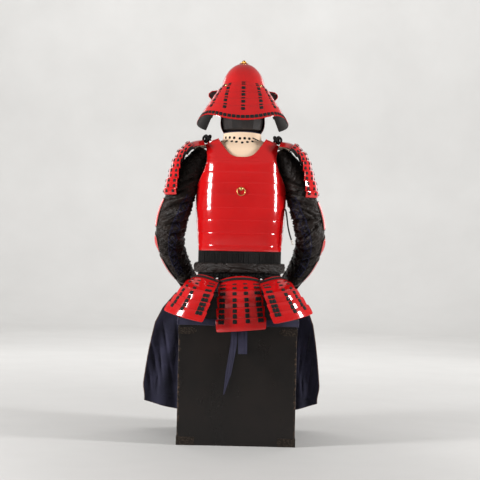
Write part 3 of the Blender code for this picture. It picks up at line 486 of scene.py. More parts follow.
def box_lacquer(name):
    """Black lacquer over boards: brown depth where it has rubbed thin, long upright grain showing through,
    and hazy handling marks that dull the shine."""
    mat, shader = new_finish(name, Coat_Weight=0.10, Coat_Roughness=0.12, Specular_IOR_Level=0.32)
    where = object_place(mat)
    grain = noise(mat, where, 26.0, 6.0, 0.65, (1.0, 1.0, 0.06))
    rubbed = ramp(mat, noise(mat, where, 5.0, 6.0, 0.6), ((0.42, 0.0), (0.80, 1.0)))
    tone = tint(mat, rubbed, (0.0050, 0.0036, 0.0032), (0.0110, 0.0070, 0.0056))
    edge = add_node(mat, "ShaderNodeAttribute", (), attribute_name="edge").outputs["Fac"]
    chip = times(mat, edge, noise(mat, where, 90.0, 6.0, 0.7))
    tone = tint(mat, ramp(mat, chip, ((0.46, 0.0), (0.60, 0.8))), tone, (0.085, 0.050, 0.032))
    haze = ramp(mat, noise(mat, where, 9.0, 8.0, 0.7, (1.0, 1.0, 0.4)), ((0.35, 0.24), (0.75, 0.46)))
    height = plus(mat, grain, times(mat, noise(mat, where, 300.0, 3.0), 0.2))
    wire(mat, shader, tone, haze, height, 0.06, 0.001)
    return mat


def stained_wood(name):
    """Dark stained stand: stretched grain in two tones under a matt finish."""
    mat, shader = new_finish(name, Specular_IOR_Level=0.35)
    where = object_place(mat)
    grain = noise(mat, where, 60.0, 6.0, 0.6, (1.0, 1.0, 0.08))
    share = ramp(mat, grain, ((0.35, 0.0), (0.70, 1.0)))
    tone = tint(mat, share, (0.010, 0.008, 0.008), (0.026, 0.019, 0.017))
    wire(mat, shader, tone, ramp(mat, grain, ((0.3, 0.50), (0.8, 0.66))), grain, 0.15, 0.001)
    return mat


RED = lacquer("red_lacquer_worn", (0.560, 0.0060, 0.0070), (0.450, 0.0040, 0.0050), (0.060, 0.030, 0.024),
              roughness=0.10)
INNER_RED = lacquer("dark_red_lacquer", (0.150, 0.0060, 0.0060), (0.070, 0.0040, 0.0040), (0.040, 0.020, 0.016),
                    roughness=0.14)
GOLD = gilding("gilt_brass_aged", (0.86, 0.60, 0.22), (0.42, 0.25, 0.09), 0.20)
BRONZE = patina("dark_bronze_chased", (0.085, 0.066, 0.050), (0.026, 0.020, 0.017))
BLACK = box_lacquer("black_box_lacquer")
SLEEVE_CLOTH = woven("brown_black_crepe", (0.0210, 0.0125, 0.0092), (0.0065, 0.0042, 0.0034),
                     thread=330.0, roughness=0.40, sheen=0.04, soft=0.60, crease=2.6)
SASH_CLOTH = woven("brown_sash_silk", (0.0220, 0.0135, 0.0105), (0.0070, 0.0044, 0.0036),
                   thread=360.0, roughness=0.42, sheen=0.04, soft=0.60, crease=2.4)
NAVY = woven("navy_cotton", (0.0270, 0.0250, 0.0560), (0.0120, 0.0115, 0.0260),
              thread=300.0, roughness=0.80, sheen=0.35, soft=0.40, crease=0.5)
TIE_NAVY = woven("faded_navy_cotton", (0.0340, 0.0310, 0.0660), (0.0160, 0.0150, 0.0330),
                 thread=300.0, roughness=0.80, sheen=0.35, soft=0.40, crease=0.4)
CREAM = woven("cream_buckskin", (0.900, 0.690, 0.500), (0.820, 0.600, 0.420),
              thread=420.0, roughness=0.78, sheen=0.20, soft=0.25, crease=0.3)
PIPING = woven("brown_piping_cloth", (0.120, 0.062, 0.045), (0.050, 0.028, 0.022),
               thread=500.0, roughness=0.62, sheen=0.30)
LACING = braided("black_green_braid", (0.0060, 0.0095, 0.0085), (0.0018, 0.0028, 0.0026), 420.0, 0.66)
CORD = braided("black_cord_braid", (0.0060, 0.0042, 0.0038), (0.0016, 0.0012, 0.0012), 500.0, 0.70)
NAVY_CORD = braided("navy_cord_braid", (0.0160, 0.0150, 0.0520), (0.0040, 0.0038, 0.0150), 500.0, 0.66)
WHITE_CORD = braided("white_cord_tip", (0.70, 0.66, 0.60), (0.40, 0.37, 0.33), 500.0, 0.62)
WOOD = stained_wood("dark_stained_stand")


# Lames: plates that follow one base surface, each lying outside the one above

LAME = 0.002
LAME_ROWS, LAME_COLUMNS = 11, 49
LACE_RISE = 0.0016
#                       across  down
STEP_ACROSS, STEP_DOWN = 1e-3, 1e-3


def surface_frame(base, u, v, toward):
    """Place, unit direction across, unit direction down and outward normal of a surface at u and v."""
    u, v = np.broadcast_arrays(np.asarray(u, dtype=float), np.asarray(v, dtype=float))
    place = base(u, v)
    across = unit(base(u + STEP_ACROSS, v) - base(u - STEP_ACROSS, v))
    down = unit(base(u, v + STEP_DOWN) - base(u, v - STEP_DOWN))
    normal = unit(np.cross(across, down))
    sign = np.where(np.sum(normal * np.asarray(toward), axis=-1, keepdims=True) < 0, -1.0, 1.0)
    return place, across, down, normal * sign


def lame(base, start, stop, toward, lift, half_width, tail, corner=0.005, bow=0.0014, flare=0.0):
    """One plate: its inner face lies lift above the base at its upper edge and sinks to the base at its lower
    one, with a slight outward bow; its corners are rounded by pulling the rows near them in, and its upper edge
    is wider than the base by the flare, so that its sides step out over the plate above."""
    t = np.linspace(0.0, 1.0, LAME_ROWS)
    t = np.concatenate([[0.0, 0.02, 0.05], t[1:-1], [0.95, 0.98, 1.0]])
    t = np.unique(np.round(t, 5))
    v = start + (stop + tail - start) * t
    high, low = (base(np.zeros(1), np.array([end]))[0] for end in (start, stop + tail))
    tall = np.linalg.norm(low - high)
    near = np.minimum(t, 1.0 - t) * tall
    cut = np.where(near < corner, corner - np.sqrt(np.maximum(corner ** 2 - (corner - near) ** 2, 0.0)), 0.0)
    u = np.linspace(-1.0, 1.0, LAME_COLUMNS)[None, :] * (1.0 - cut / half_width + flare * (1.0 - t))[:, None]
    place, _, _, normal = surface_frame(base, u, v[:, None] + 0.0 * u, toward)
    rise = (lift * (1.0 - t) + bow * arch(t))[:, None, None]
    ends = np.array([0.45, 0.85])
    round_in = np.ones_like(t)
    round_in[:2] = ends
    round_in[-2:] = ends[::-1]
    inner = place + normal * rise
    return shell(inner + normal * (LAME * round_in)[:, None, None], inner)


def laces(base, start, stop, toward, lift, columns, rows, tail, bow):
    """Knots of braid that show on one plate: each row has its place down the plate and its half height; each
    column its place across, its offset from there and its half width."""
    spots = []
    for share, half_tall in rows:
        for u, offset, half_wide in columns:
            v = start + (stop - start) * share
            place, across, down, normal = surface_frame(base, np.array([u]), np.array([v]), toward)
            t = share * (stop - start) / (stop - start + tail)
            rise = lift * (1.0 - t) + bow * arch(t) + LAME
            raised = place + normal * rise + across * offset
            spots.append((raised, across, down, normal, half_wide, half_tall))
    place, across, down, normal = (np.concatenate([spot[k] for spot in spots]) for k in range(4))
    return marks(place, across, down, normal, *([spot[k] for spot in spots] for k in (4, 5)), LACE_RISE)


# Helmet

BOWL_HALF, BOWL_DEPTH = 0.0872, 1.20
BOWL_BASE, BOWL_RISE, BOWL_WALL = 1.374, 0.115, 0.0025
CROWN_HOLE, BOWL_SIDES = 0.006, 96
GUARD_SWEEP, GUARD_STEPS, GUARD_LIFT, GUARD_BOW = 125.0, 145, 0.0042, 0.0006
GUARD_HEM_X, GUARD_HEM_Y = 0.180, 0.170
GUARD_SPLITS = (0.0, 0.112, 0.288, 0.460, 0.654, 1.0)
GUARD_TAIL = 0.030
#                   radius  height
FINIAL_LEAVES = ((0.0010, 0.0), (0.0166, -0.0014), (0.0176, -0.0006), (0.0172, 0.0006), (0.0120, 0.0024),
                 (0.0010, 0.0030))
FINIAL_FLOWER = ((0.0010, 0.0024), (0.0118, 0.0026), (0.0122, 0.0038), (0.0080, 0.0052), (0.0010, 0.0052))
FINIAL_TUBE = ((0.0010, 0.0048), (0.0086, 0.0050), (0.0100, 0.0062), (0.0098, 0.0078), (0.0062, 0.0088),
               (0.0052, 0.0106), (0.0064, 0.0114), (0.0062, 0.0122), (0.0040, 0.0125), (0.0036, 0.0112),
               (0.0010, 0.0110))
#     angle   top    hem
GUARD_EDGE = (
    (-35.0, 1.401, 1.266),
    (-20.0, 1.403, 1.255),
    (0.0, 1.405, 1.249),
    (20.0, 1.403, 1.255),
    (35.0, 1.401, 1.266),
    (50.0, 1.399, 1.272),
    (65.0, 1.396, 1.266),
    (80.0, 1.393, 1.252),
    (100.0, 1.390, 1.238),
    (125.0, 1.385, 1.227),
)
# Lacing columns run from one angle at the bowl to another at the hem
GUARD_LACE_TOP = np.array((-117.0, -90.0, -58.0, -37.0, 0.0, 37.0, 58.0, 90.0, 117.0))
GUARD_LACE_HEM = np.array((-117.0, -86.0, -49.0, -23.0, 0.0, 23.0, 49.0, 86.0, 117.0))
HEM_LACE_PITCH = 0.0176
TURN_BACK_REACH, VISOR_REACH = 0.1385, 0.038
# Rows of lacing on each plate: share down it, half height
GUARD_LACES = {"first": ((0.14, 0.0024), (0.60, 0.0026)), "other": ((0.36, 0.0062), (0.86, 0.0034)),
               "last": ((0.19, 0.0064),)}


def guard_base(turn, share):
    """Neck guard's base: straight lines down from an oval on the bowl to a wider oval at the hem, whose two
    heights follow the edge table; turn is the angle from the back."""
    at = np.abs(turn)
    top_z, hem_z = eased(GUARD_EDGE, 1, at), eased(GUARD_EDGE, 2, at)
    rise = np.clip((top_z - BOWL_BASE) / BOWL_RISE, 0.0, 1.0)
    half = BOWL_HALF * np.sqrt(1.0 - rise ** 2) + 0.0005
    x, y = np.sin(np.radians(turn)), -np.cos(np.radians(turn))
    top = np.stack([half * x, half * BOWL_DEPTH * y, top_z], axis=-1)
    hem = np.stack([GUARD_HEM_X * x, GUARD_HEM_Y * y, hem_z], axis=-1)
    return top + (hem - top) * np.asarray(share)[..., None]


def guard_point(turn, share, lift):
    """Base point raised along the guard's fixed slanting direction."""
    radians = np.radians(np.asarray(turn, dtype=float))
    slant = np.stack([0.85 * np.sin(radians), -0.85 * np.cos(radians), 0.53 + 0.0 * radians], axis=-1)
    return guard_base(turn, share) + slant * np.asarray(lift)[..., None]


def guard_lame(start, stop, high, last):
    """Neck guard plate: slanting lift from high to nothing, rolled lip on the last one's hem."""
    turn = np.linspace(-GUARD_SWEEP, GUARD_SWEEP, GUARD_STEPS)[None, :]
    t = np.array([0.0, 0.03, 0.08, 0.2, 0.35, 0.5, 0.65, 0.8, 0.9, 0.95, 0.98, 1.0])[:, None]
    share = start + (stop - start) * t
    lip = 0.0022 * smooth(t, 0.93, 1.0) if last else 0.0
    lift = high * (1.0 - t) + GUARD_BOW * arch(t) + lip
    thick = LAME * np.where((t < 0.01) | (t > 0.99), 0.5, 1.0)
    inner = guard_point(turn + 0.0 * t, share + 0.0 * turn, lift + 0.0 * turn)
    outer = guard_point(turn + 0.0 * t, share + 0.0 * turn, lift + thick + 0.0 * turn)
    return shell(outer, inner)


def guard_marks(turns, share, lift, half_wide, half_tall):
    """Braid pillows on the neck guard at several angles and one share and lift."""
    turns = np.asarray(turns, dtype=float)
    place = guard_point(turns, share + 0.0 * turns, lift + 0.0 * turns)
    ahead = guard_point(turns + 0.2, share + 0.0 * turns, lift + 0.0 * turns)
    below = guard_point(turns, share + 0.01 + 0.0 * turns, lift + 0.0 * turns)
    across, down = unit(ahead - place), unit(below - place)
    normal = unit(np.cross(across, down))
    sign = np.sign(np.sum(normal * (place * LEVEL), axis=1, keepdims=True))
    return marks(place, across, down, normal * sign, half_wide, half_tall, 0.0017, 0.22)


def build_helmet():
    """Bowl, finial, laced neck guard with its rolled hem, the gilt rivets, turn-backs and visor."""
    build_bowl()
    build_neck_guard()
    build_turn_backs()


def build_bowl():
    """Round bowl with a rolled rim, and the petalled finial over its crown hole."""
    turn = np.arange(BOWL_SIDES) / BOWL_SIDES * TAU
    tilt = np.linspace(math.asin(CROWN_HOLE / BOWL_HALF), math.pi / 2.0, 44)[:, None]
    walls = []
    for less in (0.0, BOWL_WALL):
        half = (BOWL_HALF - less) * np.sin(tilt)
        half[0] = CROWN_HOLE
        ridge = 1.0 + 0.004 * hump(np.abs(np.sin(turn[None, :])), 1.0, 0.02)
        walls.append(np.stack([half * np.cos(turn), half * BOWL_DEPTH * np.sin(turn) * ridge,
                               BOWL_BASE + (BOWL_RISE - less) * np.cos(tilt) + 0.0 * turn], axis=-1))
    half = BOWL_HALF - 0.001
    rim = np.stack([half * np.cos(turn), half * BOWL_DEPTH * np.sin(turn), BOWL_BASE + 0.0 * turn], axis=-1)
    bowl = joined([shell(walls[0], walls[1], wrap=True), tube(rim, 0.0018, 8, closed=True)])
    piece("helmet_bowl_shell", bowl, RED, ["helmet_bowl"])

    top = (0.0, 0.0, BOWL_BASE + BOWL_RISE)
    layers = [lathe(FINIAL_LEAVES, 96, top, petals=16, petal_depth=0.10),
              lathe(FINIAL_FLOWER, 80, top, petals=12, petal_depth=0.12),
              lathe(FINIAL_TUBE, 48, top)]
    piece("crown_finial", joined(layers), GOLD, ["finial"])


def build_neck_guard():
    """Five plates, each stepping out over the one above, their lacing, and the gilt rivets at their top."""
    splits = list(zip(GUARD_SPLITS[:-1], GUARD_SPLITS[1:]))
    for number, (start, stop) in enumerate(splits, 1):
        last = stop == 1.0
        high = GUARD_LIFT if number > 1 else 0.0
        form = guard_lame(start, stop if last else stop + GUARD_TAIL, high, last)
        name = "neck_guard_" + str(number)
        piece(name + "_plate", form, RED, [name])
    knots = []
    for number, (start, stop) in enumerate(splits):
        high = GUARD_LIFT if number else 0.0
        last = stop == 1.0
        rows = GUARD_LACES["last" if last else "other" if number else "first"]
        for share, half_tall in rows:
            at = start + (stop - start) * share
            t = (stop - start) * share / (stop - start + (0.0 if last else GUARD_TAIL))
            lift = high * (1.0 - t) + GUARD_BOW * arch(t) + LAME
            turns = GUARD_LACE_TOP + (GUARD_LACE_HEM - GUARD_LACE_TOP) * at
            knots.append(guard_marks(turns, at, lift, 0.0076, half_tall))
    fine = np.linspace(-GUARD_SWEEP + 2.5, GUARD_SWEEP - 2.5, 600)
    line = guard_point(fine, 0.90 + 0.0 * fine, 0.0014 + LAME + 0.0 * fine)
    run = np.concatenate([[0.0], np.cumsum(np.linalg.norm(np.diff(line, axis=0), axis=1))])
    count = int(run[-1] / HEM_LACE_PITCH)
    spots = np.interp((np.arange(count) + 0.5) / count * run[-1], run, fine)
    knots.append(guard_marks(spots, 0.915, 0.0012 + LAME, 0.0078, 0.0070))
    piece("neck_guard_lacing", joined(knots), LACING)

    rivets = []
    for angle in (-47.0, 47.0, -104.0, 104.0):
        radians = math.radians(angle)
        spot = guard_point(np.array(angle), np.array(0.055), np.array(LAME))
        out = unit(np.array([0.85 * math.sin(radians), -0.85 * math.cos(radians), 0.40]))
        rivets.append(dome(spot, out, 0.0056, 0.0044))
    piece("helmet_rivets", joined(rivets), GOLD)


def build_turn_backs():
    """Turn-backs at the neck guard's two ends, each a dished leaf with a rolled edge, and the visor."""
    run = np.linspace(0.0, 1.0, 25)[None, :]
    up = np.linspace(-1.0, 1.0, 21)[:, None]
    for word, side in SIDES:
        high = np.interp(run, (0.0, 0.45, 0.8, 1.0), (0.014, 0.019, 0.016, 0.006))
        low = np.interp(run, (0.0, 0.45, 0.8, 1.0), (0.015, 0.019, 0.015, 0.004))
        z = 1.368 + np.where(up > 0, high * up, low * up)
        share = (1.385 - z) / (1.385 - 1.227)
        root = guard_point(np.full(z.shape, GUARD_SWEEP), share, np.full(z.shape, GUARD_LIFT + LAME))
        dish = 0.0035 * arch(run) * (1.0 - up ** 2)
        face = np.stack([root[..., 0] + (TURN_BACK_REACH - root[..., 0]) * run,
                         root[..., 1] + 0.0008 + 0.004 * run + dish, z + 0.0 * run], axis=-1)
        plate = shell(mirrored(face + (0.0, LAME, 0.0), side), mirrored(face, side))
        edge = np.concatenate([face[-1, :-1], face[::-1, -1], face[0, ::-1][1:]]) + (0.0, LAME / 2.0, 0.0)
        forms = [plate, tube(mirrored(edge, side), 0.0016, 8, ref=(0.0, 1.0, 0.0))]
        piece("turn_back_plate_" + word, joined(forms), RED, ["turn_back_" + word])

    angle = np.radians(np.linspace(-52.0, 52.0, 61))[None, :]
    out = np.linspace(0.0, VISOR_REACH, 13)[:, None]
    fall = np.interp(out, (0.0, 0.020, VISOR_REACH), (0.0, 0.004, 0.012))
    reach = out * np.cos(angle * 1.4) + 0.0001
    top_face = np.stack([(BOWL_HALF + reach) * np.sin(angle),
                         (BOWL_HALF * BOWL_DEPTH + reach) * np.cos(angle),
                         BOWL_BASE + 0.008 - fall + 0.0 * angle], axis=-1)
    brim = [shell(top_face, top_face - (0.0, 0.0, LAME)),
            tube(top_face[-1] - (0.0, 0.0, 0.001), 0.0017, 8)]
    piece("visor_brim", joined(brim), RED, ["visor"])


def dome(spot, out, radius, height, sides=16):
    """Round head: rings whose radius falls as the cosine and whose height rises as the sine of a quarter turn."""
    out = unit(np.asarray(out, dtype=float))
    first = unit(np.cross(out, (0.0, 0.0, 1.0) if abs(out[2]) < 0.9 else (1.0, 0.0, 0.0)))
    second = np.cross(out, first)
    tilt = np.radians(np.array([0.0, 0.0, 18.0, 36.0, 54.0, 72.0, 88.0]))[:, None]
    turn = np.arange(sides)[None, :] / sides * TAU
    rise = height * np.sin(tilt)
    rise[0] = -height * 0.25
    wide = radius * np.cos(tilt)
    x, y = (wide * np.cos(turn))[..., None] * first, (wide * np.sin(turn))[..., None] * second
    grid = np.asarray(spot) + x + y
    grid = grid + (rise + 0.0 * turn)[..., None] * out
    points = grid.reshape(-1, 3)
    return form_of(points, lofted(len(tilt), sides), points[:, [0, 2]])


# Cuirass

CUIRASS_POWER = 2.4
#     z       half_x  back   front  edge
CUIRASS_ROWS = (
    (0.743, 0.1650, 0.118, 0.120, 0.1650),
    (0.800, 0.1700, 0.124, 0.128, 0.1700),
    (0.860, 0.1760, 0.128, 0.134, 0.1760),
    (0.926, 0.1800, 0.130, 0.138, 0.1800),
    (0.975, 0.1790, 0.130, 0.138, 0.1790),
    (1.000, 0.1780, 0.128, 0.137, 0.1720),
    (1.025, 0.1760, 0.126, 0.135, 0.1620),
    (1.060, 0.1720, 0.120, 0.130, 0.1460),
    (1.099, 0.1680, 0.112, 0.122, 0.1355),
    (1.140, 0.1620, 0.099, 0.108, 0.1390),
    (1.165, 0.1560, 0.089, 0.096, 0.1440),
    (1.185, 0.1520, 0.082, 0.086, 0.1470),
)
CUIRASS_SEAMS = (0.765, 0.814, 0.864, 0.913, 0.965, 1.011, 1.054, 1.096)
SEAM_STEP = 0.0008
#                 above    proud
SEAM_PROFILE = (
    (-0.0150, 0.0),
    (-0.0030, 0.0),
    (-0.0010, -0.0001),
    (-0.0003, -0.0005),
    (0.0002, -0.0008),
    (0.0012, -0.0008),
    (0.0120, -0.0004),
)
PLATE = 0.003
BACK_STEPS, FRONT_STEPS = 121, 101
NECKLINE_FRONT = 1.085
#                across  height
NECKLINE_BACK = ((0.0, 1.1100), (0.030, 1.1118), (0.045, 1.1158), (0.058, 1.1228), (0.067, 1.1310),
                 (0.077, 1.1440), (0.086, 1.1620), (0.0935, 1.1800))
SHOULDER_Z, SHOULDER_X, SHOULDER_SLOPE = 1.182, 0.090, 0.36
FRONT_TOP = 1.150
ROLL_FROM, ROLL_RADIUS = 0.99, 0.0021
#                run    radius, as shares of the stud's length and radius
STUD_PROFILE = np.array(((0.0, 0.02), (0.0, 0.92), (0.10, 1.06), (0.22, 0.98), (0.30, 0.45), (0.60, 0.45),
                         (0.66, 0.74), (0.74, 0.86), (0.84, 0.80), (0.94, 0.56), (1.0, 0.25), (1.01, 0.02)))
STUD_Z, STUD_SIDES, STUD_LONG, STUD_RADIUS, STUD_NECK = 0.986, 40, 0.011, 0.0075, 0.45
RING_RADIUS, RING_HALF, RING_STEPS, RING_PLAY = 0.0157, 0.0016, 72, 0.0003
RING_HOLE = 0.0017


def cuirass_point(share, z, front):
    """Point on a squarish oval whose half sizes follow the height; share 1 is at the armhole's edge."""
    z = np.asarray(z, dtype=float)
    half, deep, edge = (eased(CUIRASS_ROWS, column, z) for column in (1, 3 if front else 2, 4))
    limit = np.arcsin(np.minimum(1.0, (edge / half)) ** (CUIRASS_POWER / 2.0))
    angle = share * limit
    x = half * np.sign(share) * np.abs(np.sin(angle)) ** (2.0 / CUIRASS_POWER)
    y = deep * np.abs(np.cos(angle)) ** (2.0 / CUIRASS_POWER)
    return np.stack(np.broadcast_arrays(x, y if front else -y, z + 0.0 * share), axis=-1)


def cuirass_depth(x, z, front):
    """Distance of the cuirass's outside from the middle plane at a width and height."""
    half, deep = eased(CUIRASS_ROWS, 1, z), eased(CUIRASS_ROWS, 3 if front else 2, z)
    return deep * (1.0 - (np.abs(x) / half) ** CUIRASS_POWER) ** (1.0 / CUIRASS_POWER)


def cuirass_half(front):
    """Wall of one half, its outside tucked in above each seam and out to a rounded edge below the next; and its
    sides and top as one line."""
    share = np.linspace(-1.0, 1.0, FRONT_STEPS if front else BACK_STEPS)[None, :]
    seams = [seam for seam in CUIRASS_SEAMS if not front or seam < NECKLINE_FRONT - 0.01]
    levels = [(CUIRASS_ROWS[0][0], -0.0006), (CUIRASS_ROWS[0][0] + 0.0008, 0.0)]
    levels += [(seam + above, proud) for seam in seams for above, proud in SEAM_PROFILE]
    levels = np.array(levels)
    base_top = levels[-1, 0]
    if front:
        top = NECKLINE_FRONT + (FRONT_TOP - NECKLINE_FRONT) * smooth(np.abs(share), 0.38, 0.60)
    else:
        x = np.abs(cuirass_point(share, SHOULDER_Z + 0.0 * share, False)[..., 0])
        line = SHOULDER_Z - SHOULDER_SLOPE * (np.maximum(x, SHOULDER_X) - SHOULDER_X)
        top = np.where(x < NECKLINE_BACK[-1][0], np.minimum(eased(NECKLINE_BACK, 1, x), line), line)
    up = np.linspace(0.0, 1.0, 28)[1:, None]
    upper_z = base_top + (top - base_top) * up
    z = np.concatenate([levels[:, :1] + 0.0 * share, upper_z])
    upper_proud = -SEAM_STEP * (1.0 - smooth(up, 0.0, 0.4))
    proud = np.concatenate([levels[:, 1:] + 0.0 * share, upper_proud + 0.0 * share])
    proud[-1] -= 0.0008
    place = cuirass_point(share + 0.0 * z, z, front)
    normal = facing(grid_normals(place), place * LEVEL)
    outer = place + normal * proud[..., None]
    inner = place - normal * PLATE
    limit = 0.00015 if front else -0.00015
    for wall in (outer, inner):
        wall[..., 1] = np.maximum(wall[..., 1], limit) if front else np.minimum(wall[..., 1], limit)
    edge = (outer + inner) / 2.0
    return shell(outer, inner), np.concatenate([edge[:, 0], edge[-1, 1:-1], edge[::-1, -1]])


def build_cuirass():
    """Back and front of the cuirass with rolled edges, straps, and the ring hanging on its stud."""
    for word, front in (("back", False), ("front", True)):
        form, rim = cuirass_half(front)
        high = rim[:, 2] > ROLL_FROM
        roll = tube(rim[high], ROLL_RADIUS, 8, ref=(0.0, 1.0, 0.0))
        piece("cuirass_" + word + "_plates", joined([form, roll]), RED, ["cuirass_" + word])
    for word, side in SIDES:
        turn = np.linspace(0.0, 1.0, 41)[:, None]
        x = np.linspace(0.094, 0.136, 17)[None, :]
        line = SHOULDER_Z - SHOULDER_SLOPE * (x - SHOULDER_X)
        high = line + PLATE + 0.0012
        back, fore = -cuirass_depth(x, line, False), cuirass_depth(x, FRONT_TOP + 0.0 * x, True)
        z = high + (FRONT_TOP + PLATE + 0.0006 - high) * smooth(turn, 0.5, 1.0)
        face = np.stack([side * x + 0.0 * turn, back + (fore - back) * turn, z], axis=-1)
        middle = face - UP * PLATE / 2.0
        rim = [tube(middle[:, column], ROLL_RADIUS, 8, ref=(1.0, 0.0, 0.0)) for column in (0, -1)]
        strap = joined([shell(face, face - UP * PLATE)] + rim)
        piece("strap_plate_" + word, strap, RED, ["shoulder_strap_" + word])
    build_ring()


def build_ring():
    """Turned gilt stud on the back and the round ring that hangs in its neck."""
    seat = -eased(CUIRASS_ROWS, 2, STUD_Z) + 0.0004
    turn = np.arange(STUD_SIDES)[None, :] / STUD_SIDES * TAU
    radius = STUD_PROFILE[:, 1:] * STUD_RADIUS
    grid = np.stack([radius * np.cos(turn), seat - STUD_PROFILE[:, :1] * STUD_LONG + 0.0 * turn,
                     STUD_Z + radius * np.sin(turn)], axis=-1)
    points = grid.reshape(-1, 3)
    stud = form_of(points, lofted(len(STUD_PROFILE), STUD_SIDES), points[:, [0, 2]])
    piece("ring_stud_head", stud, GOLD, ["ring_stud"])
    hinge = STUD_Z + STUD_RADIUS * STUD_NECK + RING_PLAY + RING_HOLE
    around = np.arange(RING_STEPS) / RING_STEPS * TAU
    loop = np.stack([RING_RADIUS * np.sin(around), seat - STUD_NECK * STUD_LONG + 0.0 * around,
                     hinge - RING_RADIUS + RING_RADIUS * np.cos(around)], axis=-1)
    ring = tube(loop, RING_HALF, 12, ref=(0.0, 1.0, 0.0), closed=True)
    piece("hanging_ring", ring, GOLD, ["back_ring"], body="ring")


# Collar, pads and knots

#               z_side  z_back  half_x  half_y
COLLAR_ROWS = (
    (1.210, 1.214, 0.0720, 0.0600),
    (1.194, 1.194, 0.0740, 0.0630),
    (1.182, 1.177, 0.0765, 0.0670),
    (1.174, 1.150, 0.0950, 0.0840),
    (1.167, 1.120, 0.1085, 0.0930),
    (1.161, 1.094, 0.1160, 0.1000),
)
COLLAR_OPEN = 20.0
#                x       z
COLLAR_HOLES = (
    (-0.0632, 1.1905), (-0.0489, 1.1905), (-0.0319, 1.1890), (-0.0099, 1.1860), (0.0099, 1.1868),
    (0.0273, 1.1862), (-0.0609, 1.1745), (-0.0419, 1.1730), (-0.0218, 1.1710), (0.0002, 1.1695),
    (0.0207, 1.1708), (0.0409, 1.1745),
)
COLLAR_SLIT = ((0.0397, 1.1905), (0.0620, 1.1790))
COLLAR_THICK, COLLAR_STEPS = 0.0020, 181
QUILT_PITCH = 0.0130
KNOT_CENTRE, KNOT_SIZE, KNOT_CORD = (0.1385, -0.030, 1.1845), (0.0054, 0.0042, 0.0130), 0.0046
PAD_FALL = 3.0
PAD_ROWS = ((0.1364, 1.1662), (0.1520, 1.1630), (0.1720, 1.1580), (0.1880, 1.1520))


def build_neck():
    """Cream collar and yoke with its laced holes and corded edge."""
    rows = refined(COLLAR_ROWS, 61)
    angles = np.radians(np.linspace(90.0 + COLLAR_OPEN, 450.0 - COLLAR_OPEN, COLLAR_STEPS))[None, :]
    z_side, z_back, half_x, half_y = (rows[:, k:k + 1] for k in range(4))
    ripple = 0.0008 * np.sin(3.0 * angles + 1.0) * smooth(z_side, 1.180, 1.165)
    square = 1.0 - 0.38 * smooth(1.182 - z_side, 0.0, 0.012)
    x = half_x * np.sign(np.cos(angles)) * np.abs(np.cos(angles)) ** (0.5 + 0.5 * square)
    y = half_y * np.sign(np.sin(angles)) * np.abs(np.sin(angles)) ** square
    grid = np.stack([x, y, z_side + (z_back - z_side) * np.sin(angles) ** 2 + ripple], axis=-1)
    normal = facing(grid_normals(grid), grid * LEVEL)
    form = shell(grid + normal * COLLAR_THICK, grid)
    collar = piece("collar_and_yoke", form, CREAM, ["collar"])
    flat, lift = grid.reshape(-1, 3), normal.reshape(-1, 3)
    back = np.where(flat[:, 1] < 0, 0.0, 1.0)

    def on_collar(spots):
        """The collar's nearest points to places seen from behind, on its outer face, and their normals."""
        found = [int(np.argmin((flat[:, 0] - x) ** 2 + (flat[:, 2] - z) ** 2 + back)) for x, z in spots]
        return flat[found] + lift[found] * COLLAR_THICK, lift[found]

    spots, out = on_collar(COLLAR_HOLES)
    down = unit(np.cross(out, (1.0, 0.0, 0.0)))
    holes = marks(spots, np.cross(down, out), down, out, 0.0052, 0.0052, 0.0008, 0.42)
    first, last = np.array(COLLAR_SLIT)
    ends, out = on_collar([first + (last - first) * t for t in np.linspace(0.0, 1.0, 9)])
    piece("collar_lacing", joined([holes, tube(ends + out * 0.0002, 0.0024, 8)]), CORD)
    piece("collar_edge_cord", tube(grid[0] + normal[0] * 0.0010, 0.0024, 8), NAVY_CORD)


def build_pads():
    """Quilted shoulder pads, and the trefoil knots of the shoulder cords."""
    for word, side in SIDES:
        rows = refined(PAD_ROWS, 33)
        y = np.linspace(-0.038, 0.042, 41)[None, :]
        x, z = rows[:, :1], rows[:, 1:]
        lines = [np.abs(np.sin(math.pi * run / QUILT_PITCH)) ** 0.6 for run in (y, x)]
        quilt = 0.0012 * lines[0] * lines[1]
        face = np.stack([x + 0.0 * y, y + 0.0 * x, z - PAD_FALL * y ** 2 + quilt], axis=-1)
        under = face - UP * (0.0020 + quilt[..., None])
        pad = shell(mirrored(face, side), mirrored(under, side))
        pad = piece("shoulder_pad_quilted_" + word, pad, CREAM, ["shoulder_pad_" + word])
        turn = np.arange(120) / 120.0 * TAU
        reach = 2.0 + np.cos(3.0 * turn)
        knot = np.stack([reach * np.cos(2.0 * turn), reach * np.sin(2.0 * turn), np.sin(3.0 * turn)], axis=-1)
        knot = mirrored(np.array(KNOT_CENTRE) + knot * KNOT_SIZE, side)
        piece("shoulder_cord_knot_" + word, tube(knot, KNOT_CORD, 10, closed=True), CORD,
              ["shoulder_knot_" + word])


# Face mask and throat guard

#             z      half_x   deep    chin
MASK_ROWS = (
    (1.292, 0.0850, 0.1010, 0.000),
    (1.268, 0.0860, 0.1030, 0.003),
    (1.245, 0.0865, 0.1040, 0.006),
    (1.226, 0.0820, 0.1000, 0.010),
    (1.212, 0.0740, 0.0900, 0.008),
)
#               z       half_x   deep
THROAT_LAMES = (
    ((1.2102, 0.0745, 0.0965), (1.1850, 0.0900, 0.1080)),
    ((1.1870, 0.0920, 0.1100), (1.1600, 0.1000, 0.1240)),
)


